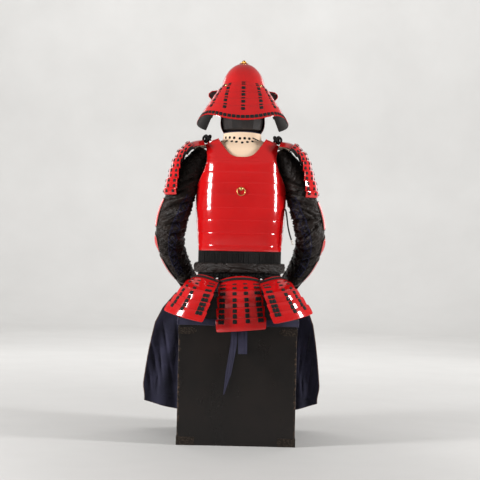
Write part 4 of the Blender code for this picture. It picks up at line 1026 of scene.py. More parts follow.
def build_mask():
    """Calm plain half mask: cheeks, a low nose ridge, closed lips and a round chin; two throat lames below."""
    rows = refined(MASK_ROWS, 81)
    angle = np.radians(np.linspace(-98.0, 98.0, 121))[None, :]
    z, half, deep, chin = (rows[:, k:k + 1] for k in range(4))
    nose = 0.010 * hump(angle, 0.0, 0.11) * smooth(z, 1.256, 1.272) * smooth(1.300 - z, 0.0, 0.012)
    lips = 0.0022 * hump(angle, 0.0, 0.24) * (hump(z, 1.2475, 0.0035) + hump(z, 1.2395, 0.0035))
    groove = -0.0020 * hump(angle, 0.0, 0.30) * hump(z, 1.2435, 0.0010)
    cheek = 0.0025 * (hump(angle, 0.62, 0.26) + hump(angle, -0.62, 0.26)) * hump(z, 1.272, 0.014)
    rise = chin * hump(angle, 0.0, 0.45) + nose + lips + groove + cheek
    wide, far = half + 0.3 * rise, deep + rise
    grid = np.stack([wide * np.sin(angle), far * np.cos(angle), z + 0.0 * angle], axis=-1)
    rim = np.concatenate([grid[0], grid[1:, -1], grid[-1, ::-1][1:]]) * (1.008, 1.008, 1.0)
    face = grid + facing(grid_normals(grid), grid * LEVEL) * LAME
    form = joined([shell(face, grid), tube(rim, 0.0017, 8)])
    piece("calm_half_mask", form, INNER_RED, ["face_mask"])
    forms, knots = [], []
    for (top, half_a, deep_a), (hem, half_b, deep_b) in THROAT_LAMES:
        t = np.linspace(0.0, 1.0, 17)[:, None]
        angle = np.radians(np.linspace(-52.0, 52.0, 81))[None, :]
        bulge = 0.0008 * arch(t)
        wide, far = half_a + (half_b - half_a) * t + bulge, deep_a + (deep_b - deep_a) * t + bulge
        z = top + (hem - top) * t + 0.0 * angle
        face = np.stack([wide * np.sin(angle), far * np.cos(angle), z], axis=-1)
        forms.append(shell(face, face - (0.0, 0.0025, 0.0)))
        for column in (8, 24, 40, 56, 72):
            for row in (4, 12):
                spot = face[row, column]
                out = unit(spot * LEVEL + UP * 0.03)
                across = unit(np.cross(UP, out))
                knots.append(marks([spot], [across], [np.cross(out, across)], [out], 0.0055, 0.0030, 0.0012))
    piece("throat_lames", joined(forms), RED, ["throat_guard"])
    piece("throat_lacing", joined(knots), LACING)


# Waist

CURTAIN_X, CURTAIN_Y, CURTAIN_TOP, CURTAIN_HEM, CURTAIN_CORDS = 0.1630, 0.1160, 0.7427, 0.638, 190
SASH_X, SASH_Y, SASH_Z, SASH_THICK, SASH_TALL = 0.1738, 0.1268, 0.6765, 0.0094, 0.0205
SASH_STEPS, SASH_SIDES, SASH_WRINKLES = 520, 48, 150
#              around  along  phase  depth
SASH_FOLDS = ((3, 2, 0.4, 0.0016), (5, -3, 1.9, 0.0012), (4, 7, 3.1, 0.0010), (9, -11, 0.7, 0.0007),
              (13, 17, 2.2, 0.0006), (7, 31, 5.0, 0.0005), (17, -43, 1.3, 0.0004))


def waist_ring(half_x, half_y, turn):
    """Squarish oval at the waist: each half size times the sine or cosine to the power 2 over the cuirass's
    power, with its sign."""
    cosine, sine = np.cos(turn), np.sin(turn)
    power = 2.0 / CUIRASS_POWER
    return half_x * np.sign(cosine) * np.abs(cosine) ** power, half_y * np.sign(sine) * np.abs(sine) ** power


def build_waist():
    """Curtain of fine upright cords with a black strip behind them as painted shade, and the crumpled sash rolled
    round over it.
    """
    rng = np.random.default_rng(31)
    build_curtain(rng)
    build_sash(rng)


def build_curtain(rng):
    """Upright cords, each leaning and bending a little its own way, and the black two-walled strip behind them, which
    is painted shade in the gaps between the cords.
    """
    fine = np.arange(1440) / 1440.0 * TAU
    x, y = waist_ring(CURTAIN_X - 0.0012, CURTAIN_Y - 0.0012, fine)
    run = np.concatenate([[0.0], np.cumsum(np.hypot(np.diff(x), np.diff(y)))])
    spots = (np.arange(CURTAIN_CORDS) + 0.5) / CURTAIN_CORDS * run[-1]
    t = np.linspace(0.0, 1.0, 9)
    cords = []
    for spot in spots:
        lean, bend, out = rng.uniform(-0.0016, 0.0016), rng.uniform(-0.0012, 0.0012), rng.uniform(0.0, 0.0010)
        at = (spot + lean * t + bend * np.sin(TAU * t)) % run[-1]
        place = np.stack([np.interp(at, run, x), np.interp(at, run, y),
                          CURTAIN_TOP + (CURTAIN_HEM - CURTAIN_TOP) * t], axis=-1)
        place[:, :2] *= 1.0 + out / 0.14
        cords.append(tube(place, 0.0021, 6, ref=(place[0, 0], place[0, 1], 0.0)))
    turn = np.arange(160) / 160.0 * TAU
    walls = []
    for less in (0.0016, 0.0030):
        x, y = waist_ring(CURTAIN_X - less, CURTAIN_Y - less, turn)
        levels = np.linspace(CURTAIN_TOP, CURTAIN_HEM, 5)
        walls.append(np.stack([np.stack([x, y, z + 0.0 * x], axis=-1) for z in levels]))
    piece("hanging_cord_curtain", joined(cords), CORD, ["hanging_cords"])
    # Painted shade: a black strip just behind the cords darkens the gaps between them
    shade_strip = shell(walls[0], walls[1], wrap=True)
    shade_strip = piece("cord_curtain_shade_strip", shade_strip, CORD, sharp=30.0)


def build_sash(rng):
    """Rolled sash: an upright oval carried round the waist, its face lowered by long slanting folds and by many
    short wrinkles, each a valley with its own place, slope, length, width and depth."""
    turn = (np.arange(SASH_STEPS) / SASH_STEPS * TAU)[:, None]
    roll = (np.arange(SASH_SIDES) / SASH_SIDES * TAU)[None, :]
    x, y = waist_ring(SASH_X, SASH_Y, turn[:, 0])
    out = unit(np.stack([x / SASH_X ** 2, y / SASH_Y ** 2], axis=-1))
    swell = 1.0 + 0.07 * np.sin(7.0 * turn) + 0.05 * np.sin(11.0 * turn + 1.0)
    folds = 0.0
    for around, along, phase, depth in SASH_FOLDS:
        uneven = 0.5 + 0.5 * np.sin(along * 1.7 * turn / 3.0 + phase)
        wave = 1.0 - np.abs(np.sin((around * roll + along * turn) / 2.0 + phase))
        folds = folds - 1.8 * depth * uneven * wave ** 3
    for _ in range(SASH_WRINKLES):
        at, around, slope = rng.uniform(0.0, TAU), rng.uniform(0.0, TAU), rng.uniform(-11.0, 11.0)
        long, wide, depth = rng.uniform(0.05, 0.22), rng.uniform(0.14, 0.34), rng.uniform(0.0010, 0.0036)
        off = (turn - at + math.pi) % TAU - math.pi
        aside = (roll - around - slope * off + math.pi) % TAU - math.pi
        folds = folds - depth * hump(off, 0.0, long) * hump(aside, 0.0, wide)
    push = (SASH_THICK + folds) * np.cos(roll) * np.where(np.cos(roll) > 0, swell, 1.0)
    rise = (SASH_TALL + 1.6 * folds) * np.sin(roll) * (0.97 + 0.03 * swell)
    grid = np.stack([x[:, None] + out[:, :1] * push, y[:, None] + out[:, 1:] * push, SASH_Z + rise], axis=-1)
    quads = lattice(SASH_STEPS + 1, SASH_SIDES, True) % (SASH_STEPS * SASH_SIDES)
    run = np.concatenate([[0.0], np.cumsum(np.hypot(np.diff(x), np.diff(y)))])
    chart = np.stack(np.broadcast_arrays(run[:, None], roll * 0.016), axis=-1).reshape(-1, 2)
    form = form_of(grid.reshape(-1, 3), quads, chart)
    piece("rolled_sash", form, SASH_CLOTH, ["sash"], sharp=70.0)


# Tassets

#   name, top_x, top_y, yaw, roll, reach, drift, top_z, drop, half_top, half_hem, sag
TASSETS = (
    ("tasset_back", 0.0005, -0.160, 0.0, -5.0, -0.125, 0.012, 0.647, 0.204, 0.073, 0.093, 0.024),
    ("tasset_back_left", -0.137, -0.135, 32.0, 12.0, -0.170, -0.083, 0.648, 0.154, 0.058, 0.090, 0.022),
    ("tasset_back_right", 0.137, -0.135, -32.0, -12.0, -0.170, 0.083, 0.648, 0.154, 0.058, 0.090, 0.022),
    ("tasset_front_1", -0.132, 0.130, 168.0, 0.0, 0.142, -0.020, 0.647, 0.200, 0.036, 0.040, 0.006),
    ("tasset_front_2", -0.045, 0.150, 177.0, 0.0, 0.128, -0.003, 0.647, 0.204, 0.038, 0.040, 0.006),
    ("tasset_front_3", 0.045, 0.150, -177.0, 0.0, 0.128, 0.003, 0.647, 0.204, 0.038, 0.040, 0.006),
    ("tasset_front_4", 0.132, 0.130, -168.0, 0.0, 0.142, 0.020, 0.647, 0.200, 0.036, 0.040, 0.006),
)
#               row  reach  drop
TASSET_LAMES = ((0.0, 0.00, 0.00), (1.0, 0.45, 0.18), (2.0, 0.86, 0.37), (3.0, 0.92, 0.57),
                (4.0, 0.96, 0.77), (5.0, 1.00, 1.00))
TASSET_STEP, TASSET_ARCH, LACE_Z, LACE_SHARE = 0.0042, 0.013, 0.649, 0.72
TASSET_TAIL, TASSET_BOW, TASSET_FLARE = 0.10, 0.0014, 0.055
#                    across  offset   half width
BACK_COLUMNS = ((-0.81, -0.0062, 0.0062), (-0.81, 0.0062, 0.0062), (-0.25, 0.0, 0.0084), (0.28, 0.0, 0.0084),
                (0.82, -0.0062, 0.0062), (0.82, 0.0062, 0.0062))
SIDE_COLUMNS = ((-0.66, 0.0, 0.0080), (-0.06, 0.0, 0.0080), (0.74, -0.0064, 0.0064), (0.74, 0.0064, 0.0064))
FRONT_COLUMNS = ((-0.66, 0.0, 0.0070), (0.0, 0.0, 0.0070), (0.66, 0.0, 0.0070))


def tasset_base(sizes):
    """Surface of one tasset: u across from -1 to 1 and v down its lames; and its outward direction."""
    top_x, top_y, yaw, roll, reach, drift, top_z, drop, half_top, half_hem, sag = sizes
    turn, tilt = math.radians(yaw), math.radians(roll)
    out = np.array([-math.sin(turn), -math.cos(turn), 0.0])
    across = np.array([math.cos(turn), -math.sin(turn), 0.0])

    def base(u, v):
        over = np.clip(v, 0.0, 5.0)
        run, down = eased(TASSET_LAMES, 1, over), eased(TASSET_LAMES, 2, over) + (v - over) * 0.22
        lean = tilt * (0.6 + 0.4 * down)
        half = half_top + (half_hem - half_top) * down
        centre = np.stack([top_x + drift * down, top_y + reach * run, top_z - drop * down], axis=-1)
        width = across * np.cos(lean)[..., None] - UP * np.sin(lean)[..., None]
        fall = UP * (TASSET_ARCH * u * u * (1.0 - smooth(v, 0.0, 1.6)))[..., None]
        return centre + width * (half * u)[..., None] - out * (sag * u * u)[..., None] - fall

    return base, out


def strand(base, toward, start, stop, v, lift, radius, flat):
    """Flat cord lying across a plate from u start to u stop at one height."""
    u = np.linspace(start, stop, 41)
    place, _, _, normal = surface_frame(base, u, v + 0.0 * u, toward)
    return tube(place + normal * lift, radius, 8, ref=unit(np.mean(normal, axis=0)), flat=flat)


def build_tassets():
    """Seven tassets of five lames, their lacing, and the strip of cords each hangs by."""
    for name, *sizes in TASSETS:
        base, out = tasset_base(sizes)
        toward = out + UP * 0.3
        half = sizes[8]
        columns = FRONT_COLUMNS if "front" in name else SIDE_COLUMNS
        if name == "tasset_back":
            columns = BACK_COLUMNS
        if name == "tasset_back_right":
            columns = tuple((-u, offset, wide) for u, offset, wide in columns)
        plates, knots = [], []
        for k in range(5):
            lift = TASSET_STEP if k else 0.0
            last = k == 4
            tail, flare = 0.0 if last else TASSET_TAIL, TASSET_FLARE if k else 0.0
            span = (base, float(k), k + 1.0, toward, lift)
            plates.append(lame(*span, half, tail, bow=TASSET_BOW, flare=flare))
            rows = ((0.30, 0.0074), (0.76, 0.0088)) if not last else ((0.24, 0.0080),)
            if k == 0:
                rows = ((0.84, 0.0036),)
            knots.append(laces(*span, columns, rows, tail, TASSET_BOW))
            if k == 0:
                knots.append(strand(base, toward, -0.98, 0.98, 0.36, LAME + 0.0032, 0.0075, 0.52))
        piece(name + "_lames", joined(plates), RED, [name])
        cords = []
        for u, _, _ in columns:
            top = base(np.array([u]), np.array([0.0]))[0]
            inward = base(np.array([0.0]), np.array([0.0]))[0]
            inward = inward + (top - inward) * LACE_SHARE
            size = abs(inward[0] / CURTAIN_X) ** CUIRASS_POWER + abs(inward[1] / CURTAIN_Y) ** CUIRASS_POWER
            scale = 1.0 / size ** (1.0 / CUIRASS_POWER) + 0.0010 / math.hypot(inward[0], inward[1])
            root = np.array([inward[0] * scale, inward[1] * scale, LACE_Z])
            foot = base(np.array([u]), np.array([0.30]))[0] + out * 0.0028 + UP * 0.0010
            t = np.linspace(0.0, 1.0, 12)[:, None]
            path = root + (foot - root) * t + UP * 0.0035 * np.sin(math.pi * t)
            cords.append(tube(path, 0.0040, 8, ref=(0.0, 0.0, 1.0), flat=0.30))
        piece(name + "_lacing", joined(knots + cords), LACING)


# Shoulder guards

#             row   x       z      bend
SODE_ROWS = (
    (0.0, 0.1560, 1.180, 0.010),
    (1.0, 0.2077, 1.168, 0.016),
    (2.0, 0.2440, 1.138, 0.024),
    (3.0, 0.2650, 1.102, 0.030),
    (4.0, 0.2780, 1.063, 0.036),
    (5.0, 0.2890, 1.024, 0.042),
    (6.0, 0.3005, 0.984, 0.048),
    (7.0, 0.3040, 0.959, 0.050),
)
SODE_HALF, SODE_STEP, SODE_TAIL, SODE_BOW = 0.088, 0.0085, 0.08, 0.0016
SODE_COLUMNS = tuple((u, 0.0, 0.0068) for u in (-0.915, -0.654, -0.22, 0.22, 0.654, 0.915))


def build_sode():
    """Shoulder guards: a plain top plate and six laced lames, each stepping out over the one above."""
    for word, side in SIDES:
        def base(u, v):
            x, z, bend = (eased(SODE_ROWS, k, v) for k in (1, 2, 3))
            droop = np.interp(v, (0.0, 1.0, 2.0, 3.2), (0.026, 0.022, 0.011, 0.0))
            place = [side * (x - 0.003 - bend * np.abs(u) ** 3), -0.012 + SODE_HALF * u, z - droop * u * u]
            return np.stack(np.broadcast_arrays(*place), axis=-1)

        toward = np.array([side, 0.0, 0.6])
        plates, knots = [], []
        for k in range(7):
            lift = SODE_STEP if k else 0.0
            last = k == 6
            tail = 0.0 if last else SODE_TAIL
            span = (base, float(k), k + 1.0, toward, lift)
            plates.append(lame(*span, 0.10, tail, 0.004, SODE_BOW))
            if k:
                rows = ((0.25, 0.0062), (0.72, 0.0062)) if not last else ((0.36, 0.0060),)
                knots.append(laces(*span, SODE_COLUMNS, rows, tail, SODE_BOW))
        piece("shoulder_guard_lames_" + word, joined(plates), RED, ["shoulder_guard_" + word])
        piece("shoulder_guard_lacing_" + word, joined(knots), LACING)


# Sleeves and what they carry

#               x       y       z      half_out half_deep
SLEEVE_ROWS = (
    (0.150, -0.004, 1.1365, 0.0300, 0.044),
    (0.168, -0.008, 1.112, 0.0430, 0.052),
    (0.190, -0.012, 1.076, 0.0500, 0.056),
    (0.213, -0.016, 1.030, 0.0510, 0.056),
    (0.232, -0.020, 0.985, 0.0500, 0.055),
    (0.241, -0.021, 0.960, 0.0520, 0.058),
    (0.253, -0.022, 0.925, 0.0580, 0.061),
    (0.266, -0.022, 0.885, 0.0620, 0.062),
    (0.275, -0.016, 0.845, 0.0640, 0.062),
    (0.279, 0.008, 0.800, 0.0580, 0.058),
    (0.277, 0.045, 0.762, 0.0540, 0.054),
    (0.268, 0.088, 0.724, 0.0520, 0.050),
    (0.252, 0.128, 0.688, 0.0500, 0.046),
    (0.234, 0.168, 0.655, 0.0440, 0.042),
    (0.220, 0.200, 0.632, 0.0370, 0.036),
)
SLEEVE_RINGS, SLEEVE_STEPS, SLEEVE_AROUND, SLEEVE_CLOTH_THICK = 20, 157, 120, 0.0018
FOLD_SCALE, CRINKLES, CRINKLE = 2.3, 18, 0.0026
# Folds listed for each sleeve: place along it, angle round it, height, length along, spread round, slant
#             place   angle   height   along   round  slant
FOLDS_LEFT = (
    (0.215, 262.0, -0.0045, 0.012, 58.0, 0.0009),
    (0.262, 250.0, 0.0035, 0.010, 50.0, 0.0010),
    (0.300, 275.0, -0.0060, 0.011, 66.0, 0.0012),
    (0.336, 262.0, 0.0050, 0.012, 60.0, 0.0011),
    (0.362, 238.0, -0.0040, 0.008, 44.0, 0.0014),
    (0.395, 280.0, -0.0065, 0.010, 62.0, 0.0010),
    (0.425, 256.0, 0.0048, 0.011, 52.0, 0.0013),
    (0.452, 290.0, -0.0050, 0.009, 46.0, 0.0008),
    (0.480, 248.0, -0.0068, 0.010, 64.0, 0.0006),
    (0.508, 270.0, 0.0058, 0.010, 70.0, 0.0002),
    (0.532, 262.0, -0.0076, 0.007, 76.0, -0.0003),
    (0.566, 236.0, 0.0040, 0.011, 40.0, -0.0009),
    (0.600, 285.0, -0.0052, 0.010, 50.0, -0.0010),
    (0.640, 255.0, -0.0058, 0.010, 58.0, -0.0008),
    (0.672, 300.0, 0.0038, 0.012, 44.0, -0.0012),
    (0.712, 262.0, -0.0050, 0.010, 60.0, -0.0007),
    (0.762, 240.0, -0.0042, 0.011, 48.0, 0.0008),
    (0.818, 290.0, -0.0048, 0.010, 54.0, -0.0006),
    (0.872, 255.0, -0.0036, 0.010, 50.0, 0.0007),
    (0.930, 270.0, 0.0026, 0.010, 60.0, 0.0004),
    (0.340, 95.0, -0.0052, 0.011, 60.0, -0.0010),
    (0.440, 75.0, -0.0045, 0.012, 56.0, 0.0012),
    (0.520, 100.0, -0.0064, 0.010, 66.0, -0.0006),
    (0.590, 80.0, -0.0060, 0.009, 60.0, 0.0008),
    (0.660, 105.0, -0.0050, 0.010, 52.0, 0.0010),
    (0.790, 85.0, -0.0040, 0.011, 50.0, -0.0008),
    (0.330, 175.0, -0.0050, 0.012, 50.0, 0.0010),
    (0.500, 185.0, -0.0070, 0.010, 58.0, 0.0006),
    (0.610, 170.0, -0.0068, 0.010, 58.0, -0.0008),
)
FOLDS_RIGHT = (
    (0.205, 255.0, -0.0040, 0.012, 52.0, 0.0010),
    (0.248, 272.0, 0.0036, 0.011, 48.0, 0.0011),
    (0.285, 250.0, -0.0055, 0.010, 62.0, 0.0008),
    (0.322, 285.0, 0.0042, 0.012, 50.0, 0.0013),
    (0.352, 262.0, -0.0066, 0.011, 64.0, 0.0010),
    (0.388, 240.0, 0.0046, 0.010, 46.0, 0.0009),
    (0.412, 275.0, -0.0048, 0.009, 58.0, 0.0012),
    (0.448, 262.0, -0.0072, 0.010, 72.0, 0.0001),
    (0.474, 255.0, 0.0060, 0.010, 66.0, -0.0002),
    (0.500, 280.0, -0.0054, 0.008, 52.0, -0.0006),
    (0.538, 246.0, -0.0060, 0.010, 54.0, -0.0008),
    (0.575, 272.0, 0.0048, 0.011, 50.0, -0.0011),
    (0.615, 262.0, -0.0058, 0.010, 62.0, -0.0006),
    (0.655, 240.0, -0.0046, 0.010, 44.0, 0.0008),
    (0.700, 282.0, -0.0055, 0.011, 56.0, -0.0009),
    (0.745, 255.0, 0.0034, 0.012, 50.0, 0.0007),
    (0.790, 268.0, -0.0044, 0.010, 58.0, -0.0005),
    (0.850, 245.0, -0.0038, 0.010, 46.0, 0.0008),
    (0.905, 280.0, -0.0040, 0.010, 52.0, -0.0006),
    (0.360, 80.0, -0.0048, 0.012, 58.0, 0.0010),
    (0.460, 100.0, -0.0050, 0.011, 54.0, -0.0012),
    (0.545, 85.0, -0.0066, 0.010, 64.0, 0.0005),
    (0.615, 95.0, -0.0056, 0.009, 58.0, -0.0009),
    (0.690, 75.0, -0.0048, 0.010, 50.0, -0.0010),
    (0.820, 100.0, -0.0042, 0.011, 48.0, 0.0007),
    (0.350, 190.0, -0.0048, 0.012, 52.0, -0.0009),
    (0.480, 175.0, -0.0066, 0.010, 56.0, 0.0008),
    (0.590, 182.0, -0.0070, 0.010, 60.0, 0.0006),
)


def sleeve_track():
    """Sleeve's centre line, its two directions across and its two half sizes, at even places along it."""
    rows = np.asarray(SLEEVE_ROWS)
    run = np.concatenate([[0.0], np.cumsum(np.linalg.norm(np.diff(rows[:, :3], axis=0), axis=1))])
    places = np.linspace(0.0, 1.0, SLEEVE_RINGS)
    values = np.stack([np.interp(places, run / run[-1], rows[:, column]) for column in range(5)], axis=1)
    for _ in range(2):
        values[1:-1] = 0.25 * values[:-2] + 0.5 * values[1:-1] + 0.25 * values[2:]
    values = refined(values, SLEEVE_STEPS)
    along = unit(np.gradient(values[:, :3], axis=0))
    depth = unit(np.array([0.0, 1.0, 0.0]) - along * along[:, 1:2])
    width = np.cross(depth, along)
    width = width * np.sign(width[:, :1])
    return np.concatenate([values, depth, width], axis=1)


TRACK = sleeve_track()
TRACK_PLACES = np.linspace(0.0, 1.0, SLEEVE_STEPS)


def turned(angle, middle):
    """Angle from a middle, in degrees from -180 to 180."""
    return (angle - middle + 180.0) % 360.0 - 180.0


def sleeve_point(place, angle, rise):
    """Point on the right sleeve's oval at a place along it and an angle round it, rise outside its half sizes."""
    row = np.stack([np.interp(place, TRACK_PLACES, values) for values in TRACK.T], axis=-1)
    turn = np.radians(angle)
    across = ((row[..., 3] + rise) * np.cos(turn))[..., None] * row[..., 8:11]
    return row[..., :3] + across + ((row[..., 4] + rise) * np.sin(turn))[..., None] * row[..., 5:8]


def sleeve_rise(place, angle, folds, seed):
    """Height of the cloth: listed folds, each a slanted soft ridge or trough, and fine uneven crinkles; both
    fade under the plates and at the ends."""
    rng = np.random.default_rng(seed)
    rise = np.zeros(np.broadcast(place, angle).shape)
    for at, middle, height, along, spread, slant in folds:
        off = turned(angle, middle)
        bend = at + slant * off + 0.004 * np.sin(off / 17.0 + at * 60.0)
        rise = rise + FOLD_SCALE * height * hump(place, bend, along) * hump(off, 0.0, spread)
    turn = np.radians(angle)
    for _ in range(CRINKLES):
        along, around, phase = rng.uniform(50.0, 150.0), rng.integers(-9, 10), rng.uniform(0.0, TAU)
        mask = rng.uniform(8.0, 26.0) * place + rng.integers(1, 4) * turn + rng.uniform(0.0, TAU)
        bend = 0.8 * np.sin(9.0 * place + 2.0 * turn)
        wave = 1.0 - np.abs(np.sin(along * place + around * turn + phase + bend))
        rise = rise + CRINKLE * (0.5 + 0.5 * np.sin(mask)) * (wave ** 4 - 0.20)
    rise = rise + 0.008 * hump(turned(angle, 180.0), 0.0, 50.0) * hump(place, 0.32, 0.12)
    plate = smooth(58.0 - np.abs(turned(angle, 18.0)), 0.0, 12.0) * smooth(place, 0.31, 0.36)
    rise = rise * (1.0 - 0.97 * plate) - 0.0006 * plate
    return rise * smooth(place, 0.0, 0.03) * smooth(1.0 - place, 0.0, 0.02)


#             name                first       last        behind before dome
ARM_PLATES = (
    ("upper_arm_plate", 7 / 19.0, 10 / 19.0, -30.0, 60.0, 0.000),
    ("elbow_cap", 11 / 19.0, 13 / 19.0, -30.0, 60.0, 0.006),
    ("forearm_plate", 14 / 19.0, 18 / 19.0, -30.0, 30.0, 0.000),
)
PLATE_GAP = 0.0009
#              run    size
HAND_ROWS = ((-0.010, 1.06), (0.020, 1.02), (0.050, 0.98), (0.078, 0.80), (0.092, 0.50))
HAND_STEPS = 49
#             place   angle
LACE_SEAM = ((0.300, 228.0), (0.400, 238.0), (0.480, 248.0), (0.560, 258.0), (0.680, 268.0), (0.800, 276.0),
             (0.900, 280.0))
LACE_CROSSES, LACE_HALF, LACE_OVAL = 15, 0.0130, 0.056


def arm_plate(start, stop, behind, before, dome_high):
    """Curved plate over the sleeve's outer side, three soft ribs along it, its corners rounded, raised in the
    middle for the elbow; and its edge."""
    t = np.linspace(0.0, 1.0, 41)[:, None]
    u = np.linspace(-1.0, 1.0, 61)[None, :]
    corner = np.minimum(1.0, np.minimum(t, 1.0 - t) / 0.12)
    round_end = 0.86 + 0.14 * np.sqrt(1.0 - (1.0 - corner) ** 2)
    angle = (behind + before) / 2.0 + (before - behind) / 2.0 * u * round_end
    round_top = dome_high * (1.0 - u ** 2) * arch(t)
    ribs = 0.0010 * sum(hump(u, middle, 0.07) for middle in (-0.5, 0.0, 0.5)) * smooth(corner, 0.0, 1.0)
    place = start + (stop - start) * t + 0.0 * u
    outer = sleeve_point(place, angle, PLATE_GAP + LAME + round_top + ribs)
    inner = sleeve_point(place, angle, PLATE_GAP + round_top * 0.9)
    return shell(outer, inner), outline((outer + inner) / 2.0)


def build_sleeves():
    """Crumpled cloth sleeves with their rear lacing, ribbed plates, piping and hand guards."""
    place = np.linspace(0.0, 1.0, SLEEVE_STEPS)[:, None]
    angle = (180.0 + np.arange(SLEEVE_AROUND) / SLEEVE_AROUND * 360.0)[None, :]
    for (word, side), folds, seed in zip(SIDES, (FOLDS_LEFT, FOLDS_RIGHT), (71, 72)):
        rise = sleeve_rise(place, angle, folds, seed)
        outer = sleeve_point(place + 0.0 * angle, angle + 0.0 * place, rise)
        inner = sleeve_point(place + 0.0 * angle, angle + 0.0 * place, rise - SLEEVE_CLOTH_THICK)
        cloth = shell(mirrored(outer, side), mirrored(inner, side), wrap=True)
        cloth = piece("cloth_sleeve_" + word, cloth, SLEEVE_CLOTH, ["sleeve_" + word],
                      sharp=75.0)
        for end, name in ((0, "shoulder"), (-1, "cuff")):
            hem = tube(mirrored((outer[end] + inner[end]) / 2.0, side), 0.0021, 8, closed=True)
            piece("sleeve_%s_hem_%s" % (name, word), hem, PIPING)

        def on_sleeve(at, turn, lift):
            """Points lift above this sleeve's folded cloth."""
            return mirrored(sleeve_point(at, turn, sleeve_rise(at, turn, folds, seed) + lift), side)

        seam = np.asarray(LACE_SEAM)
        cords = []
        for start in (0.0, 1.0):
            steps = np.linspace(0.0, LACE_CROSSES, LACE_CROSSES * 12 + 1)
            at = seam[0, 0] + (seam[-1, 0] - seam[0, 0]) * steps / LACE_CROSSES
            swing = 1.0 - 2.0 * np.abs((steps + start) % 2.0 - 1.0)
            turn = np.interp(at, seam[:, 0], seam[:, 1]) + swing * np.degrees(LACE_HALF / LACE_OVAL)
            over = 0.0016 + 0.0010 * np.cos(math.pi * (steps + start)) * (1.0 - swing ** 2)
            cords.append(tube(on_sleeve(at, turn, over), 0.0013, 6, ref=(0.0, -1.0, 0.0)))
        for swing in (-1.0, 1.0):
            at = np.linspace(seam[0, 0], seam[-1, 0], 120)
            turn = np.interp(at, seam[:, 0], seam[:, 1]) + swing * np.degrees(LACE_HALF / LACE_OVAL) * 1.08
            cords.append(tube(on_sleeve(at, turn, 0.0008), 0.0019, 6, ref=(0.0, -1.0, 0.0), flat=0.7))
        piece("sleeve_lacing_" + word, joined(cords), NAVY_CORD)

        for name, start, stop, behind, before, dome_high in ARM_PLATES:
            form, edge = arm_plate(start, stop, behind, before, dome_high)
            form = dict(form, points=mirrored(form["points"], side))
            form["quads"] = outward(form["points"], form["quads"])
            rim = tube(mirrored(edge, side), 0.0020, 8, closed=True)
            piece("%s_ribbed_%s" % (name, word), form, RED, ["%s_%s" % (name, word)])
            piece("%s_piping_%s" % (name, word), rim, PIPING)

        build_hand_guard(word, side)


def build_hand_guard(word, side):
    """Plate that goes on from the cuff over the hand's back, narrowing, with ribbed knuckles and a piped edge."""
    rings = np.linspace(0.0, 1.0, SLEEVE_RINGS)
    ends = np.stack([np.interp(rings, TRACK_PLACES, TRACK[:, k]) for k in range(3)], axis=1)
    along = unit(ends[-1] - ends[-3])
    sides = np.arange(12) * 30.0
    last = sleeve_point(np.ones(12), sides, np.zeros(12)) - ends[-1]
    upper = sleeve_point(np.full(12, 18 / 19.0), sides, np.zeros(12)) - ends[-2]
    order = np.roll(np.arange(12), -int(np.argmax(upper @ np.array([0.35, 0.0, 1.0]))) + 3)[:7]
    rows = np.array([[ends[-1] + along * run + last[k] * size for k in order] for run, size in HAND_ROWS])
    grid = refined(rows, HAND_STEPS, HAND_STEPS)
    normal = facing(grid_normals(grid), grid - (ends[-1] + along * 0.04))
    run = np.linspace(0.0, 1.0, HAND_STEPS)
    knuckle = 0.0016 * np.abs(np.sin(4.0 * math.pi * run))[None, :] * smooth(run, 0.55, 0.8)[:, None]
    face = grid + normal * (LAME + knuckle)[..., None]
    form = shell(mirrored(face, side), mirrored(grid, side))
    piece("hand_guard_plate_" + word, form, RED, ["hand_guard_" + word])
    rim = tube(mirrored(outline(face), side), 0.0019, 8, closed=True)
    piece("hand_guard_piping_" + word, rim, PIPING)


SIDE_CORD = ((0.1725, -0.0610, 0.9120), (0.1765, -0.0690, 0.9085), (0.1800, -0.0730, 0.8950),
             (0.1835, -0.0740, 0.8700), (0.1880, -0.0740, 0.8400), (0.1950, -0.0735, 0.8120),
             (0.2030, -0.0725, 0.7880))


def build_side_cord():
    """Short black tie cord hanging at the cuirass's right side, with a white tip."""
    path = refined(SIDE_CORD, 36)
    cord = tube(path, 0.0030, 10, ref=(0.0, 1.0, 0.0))
    made = piece("side_tie_cord", cord, CORD)
    end = path[-1] + unit(path[-1] - path[-2]) * np.linspace(-0.004, 0.016, 9)[:, None]
    swell = np.array([0.0032, 0.0040, 0.0041, 0.0036, 0.0034, 0.0038, 0.0042, 0.0044, 0.0036])
    tip = piece("side_tie_tip", tube(end, swell, 12, ref=(0.0, 1.0, 0.0)), WHITE_CORD)


# Thigh guard

BOX_HALF = 0.226
#             row      y      z_in    z_out   x_in    x_out   back
HAIDATE_ROWS = (
    (0.1190, 0.6300, 0.6250, 0.004, 0.090, 0.030),
    (0.1500, 0.5960, 0.5900, 0.005, 0.130, 0.020),
    (0.1800, 0.5708, 0.5708, 0.006, 0.180, 0.000),
    (0.2315, 0.5708, 0.5708, 0.007, 0.226, 0.000),
    (0.2380, 0.5640, 0.5600, 0.008, 0.262, 0.006),
    (0.2400, 0.5000, 0.5000, 0.009, 0.312, 0.016),
    (0.2450, 0.4300, 0.4400, 0.010, 0.342, 0.024),
    (0.2550, 0.3500, 0.3700, 0.012, 0.358, 0.028),
    (0.2650, 0.2700, 0.2950, 0.014, 0.372, 0.030),
    (0.2750, 0.1600, 0.2040, 0.016, 0.385, 0.030),
    (0.2850, 0.0500, 0.1120, 0.018, 0.397, 0.028),
)
HAIDATE_FOLDS, HAIDATE_FOLD_DEPTH = 3.5, 0.007
HAIDATE_SPREAD = {"left": 1.0, "right": 0.72}
HAIDATE_STEPS, HAIDATE_ACROSS = 150, 91
#               height at the box's edge, rise outward
QUILT_LINES = ((0.455, 0.00), (0.395, 0.02), (0.333, 0.05), (0.265, 0.19), (0.193, 0.27), (0.121, 0.23))
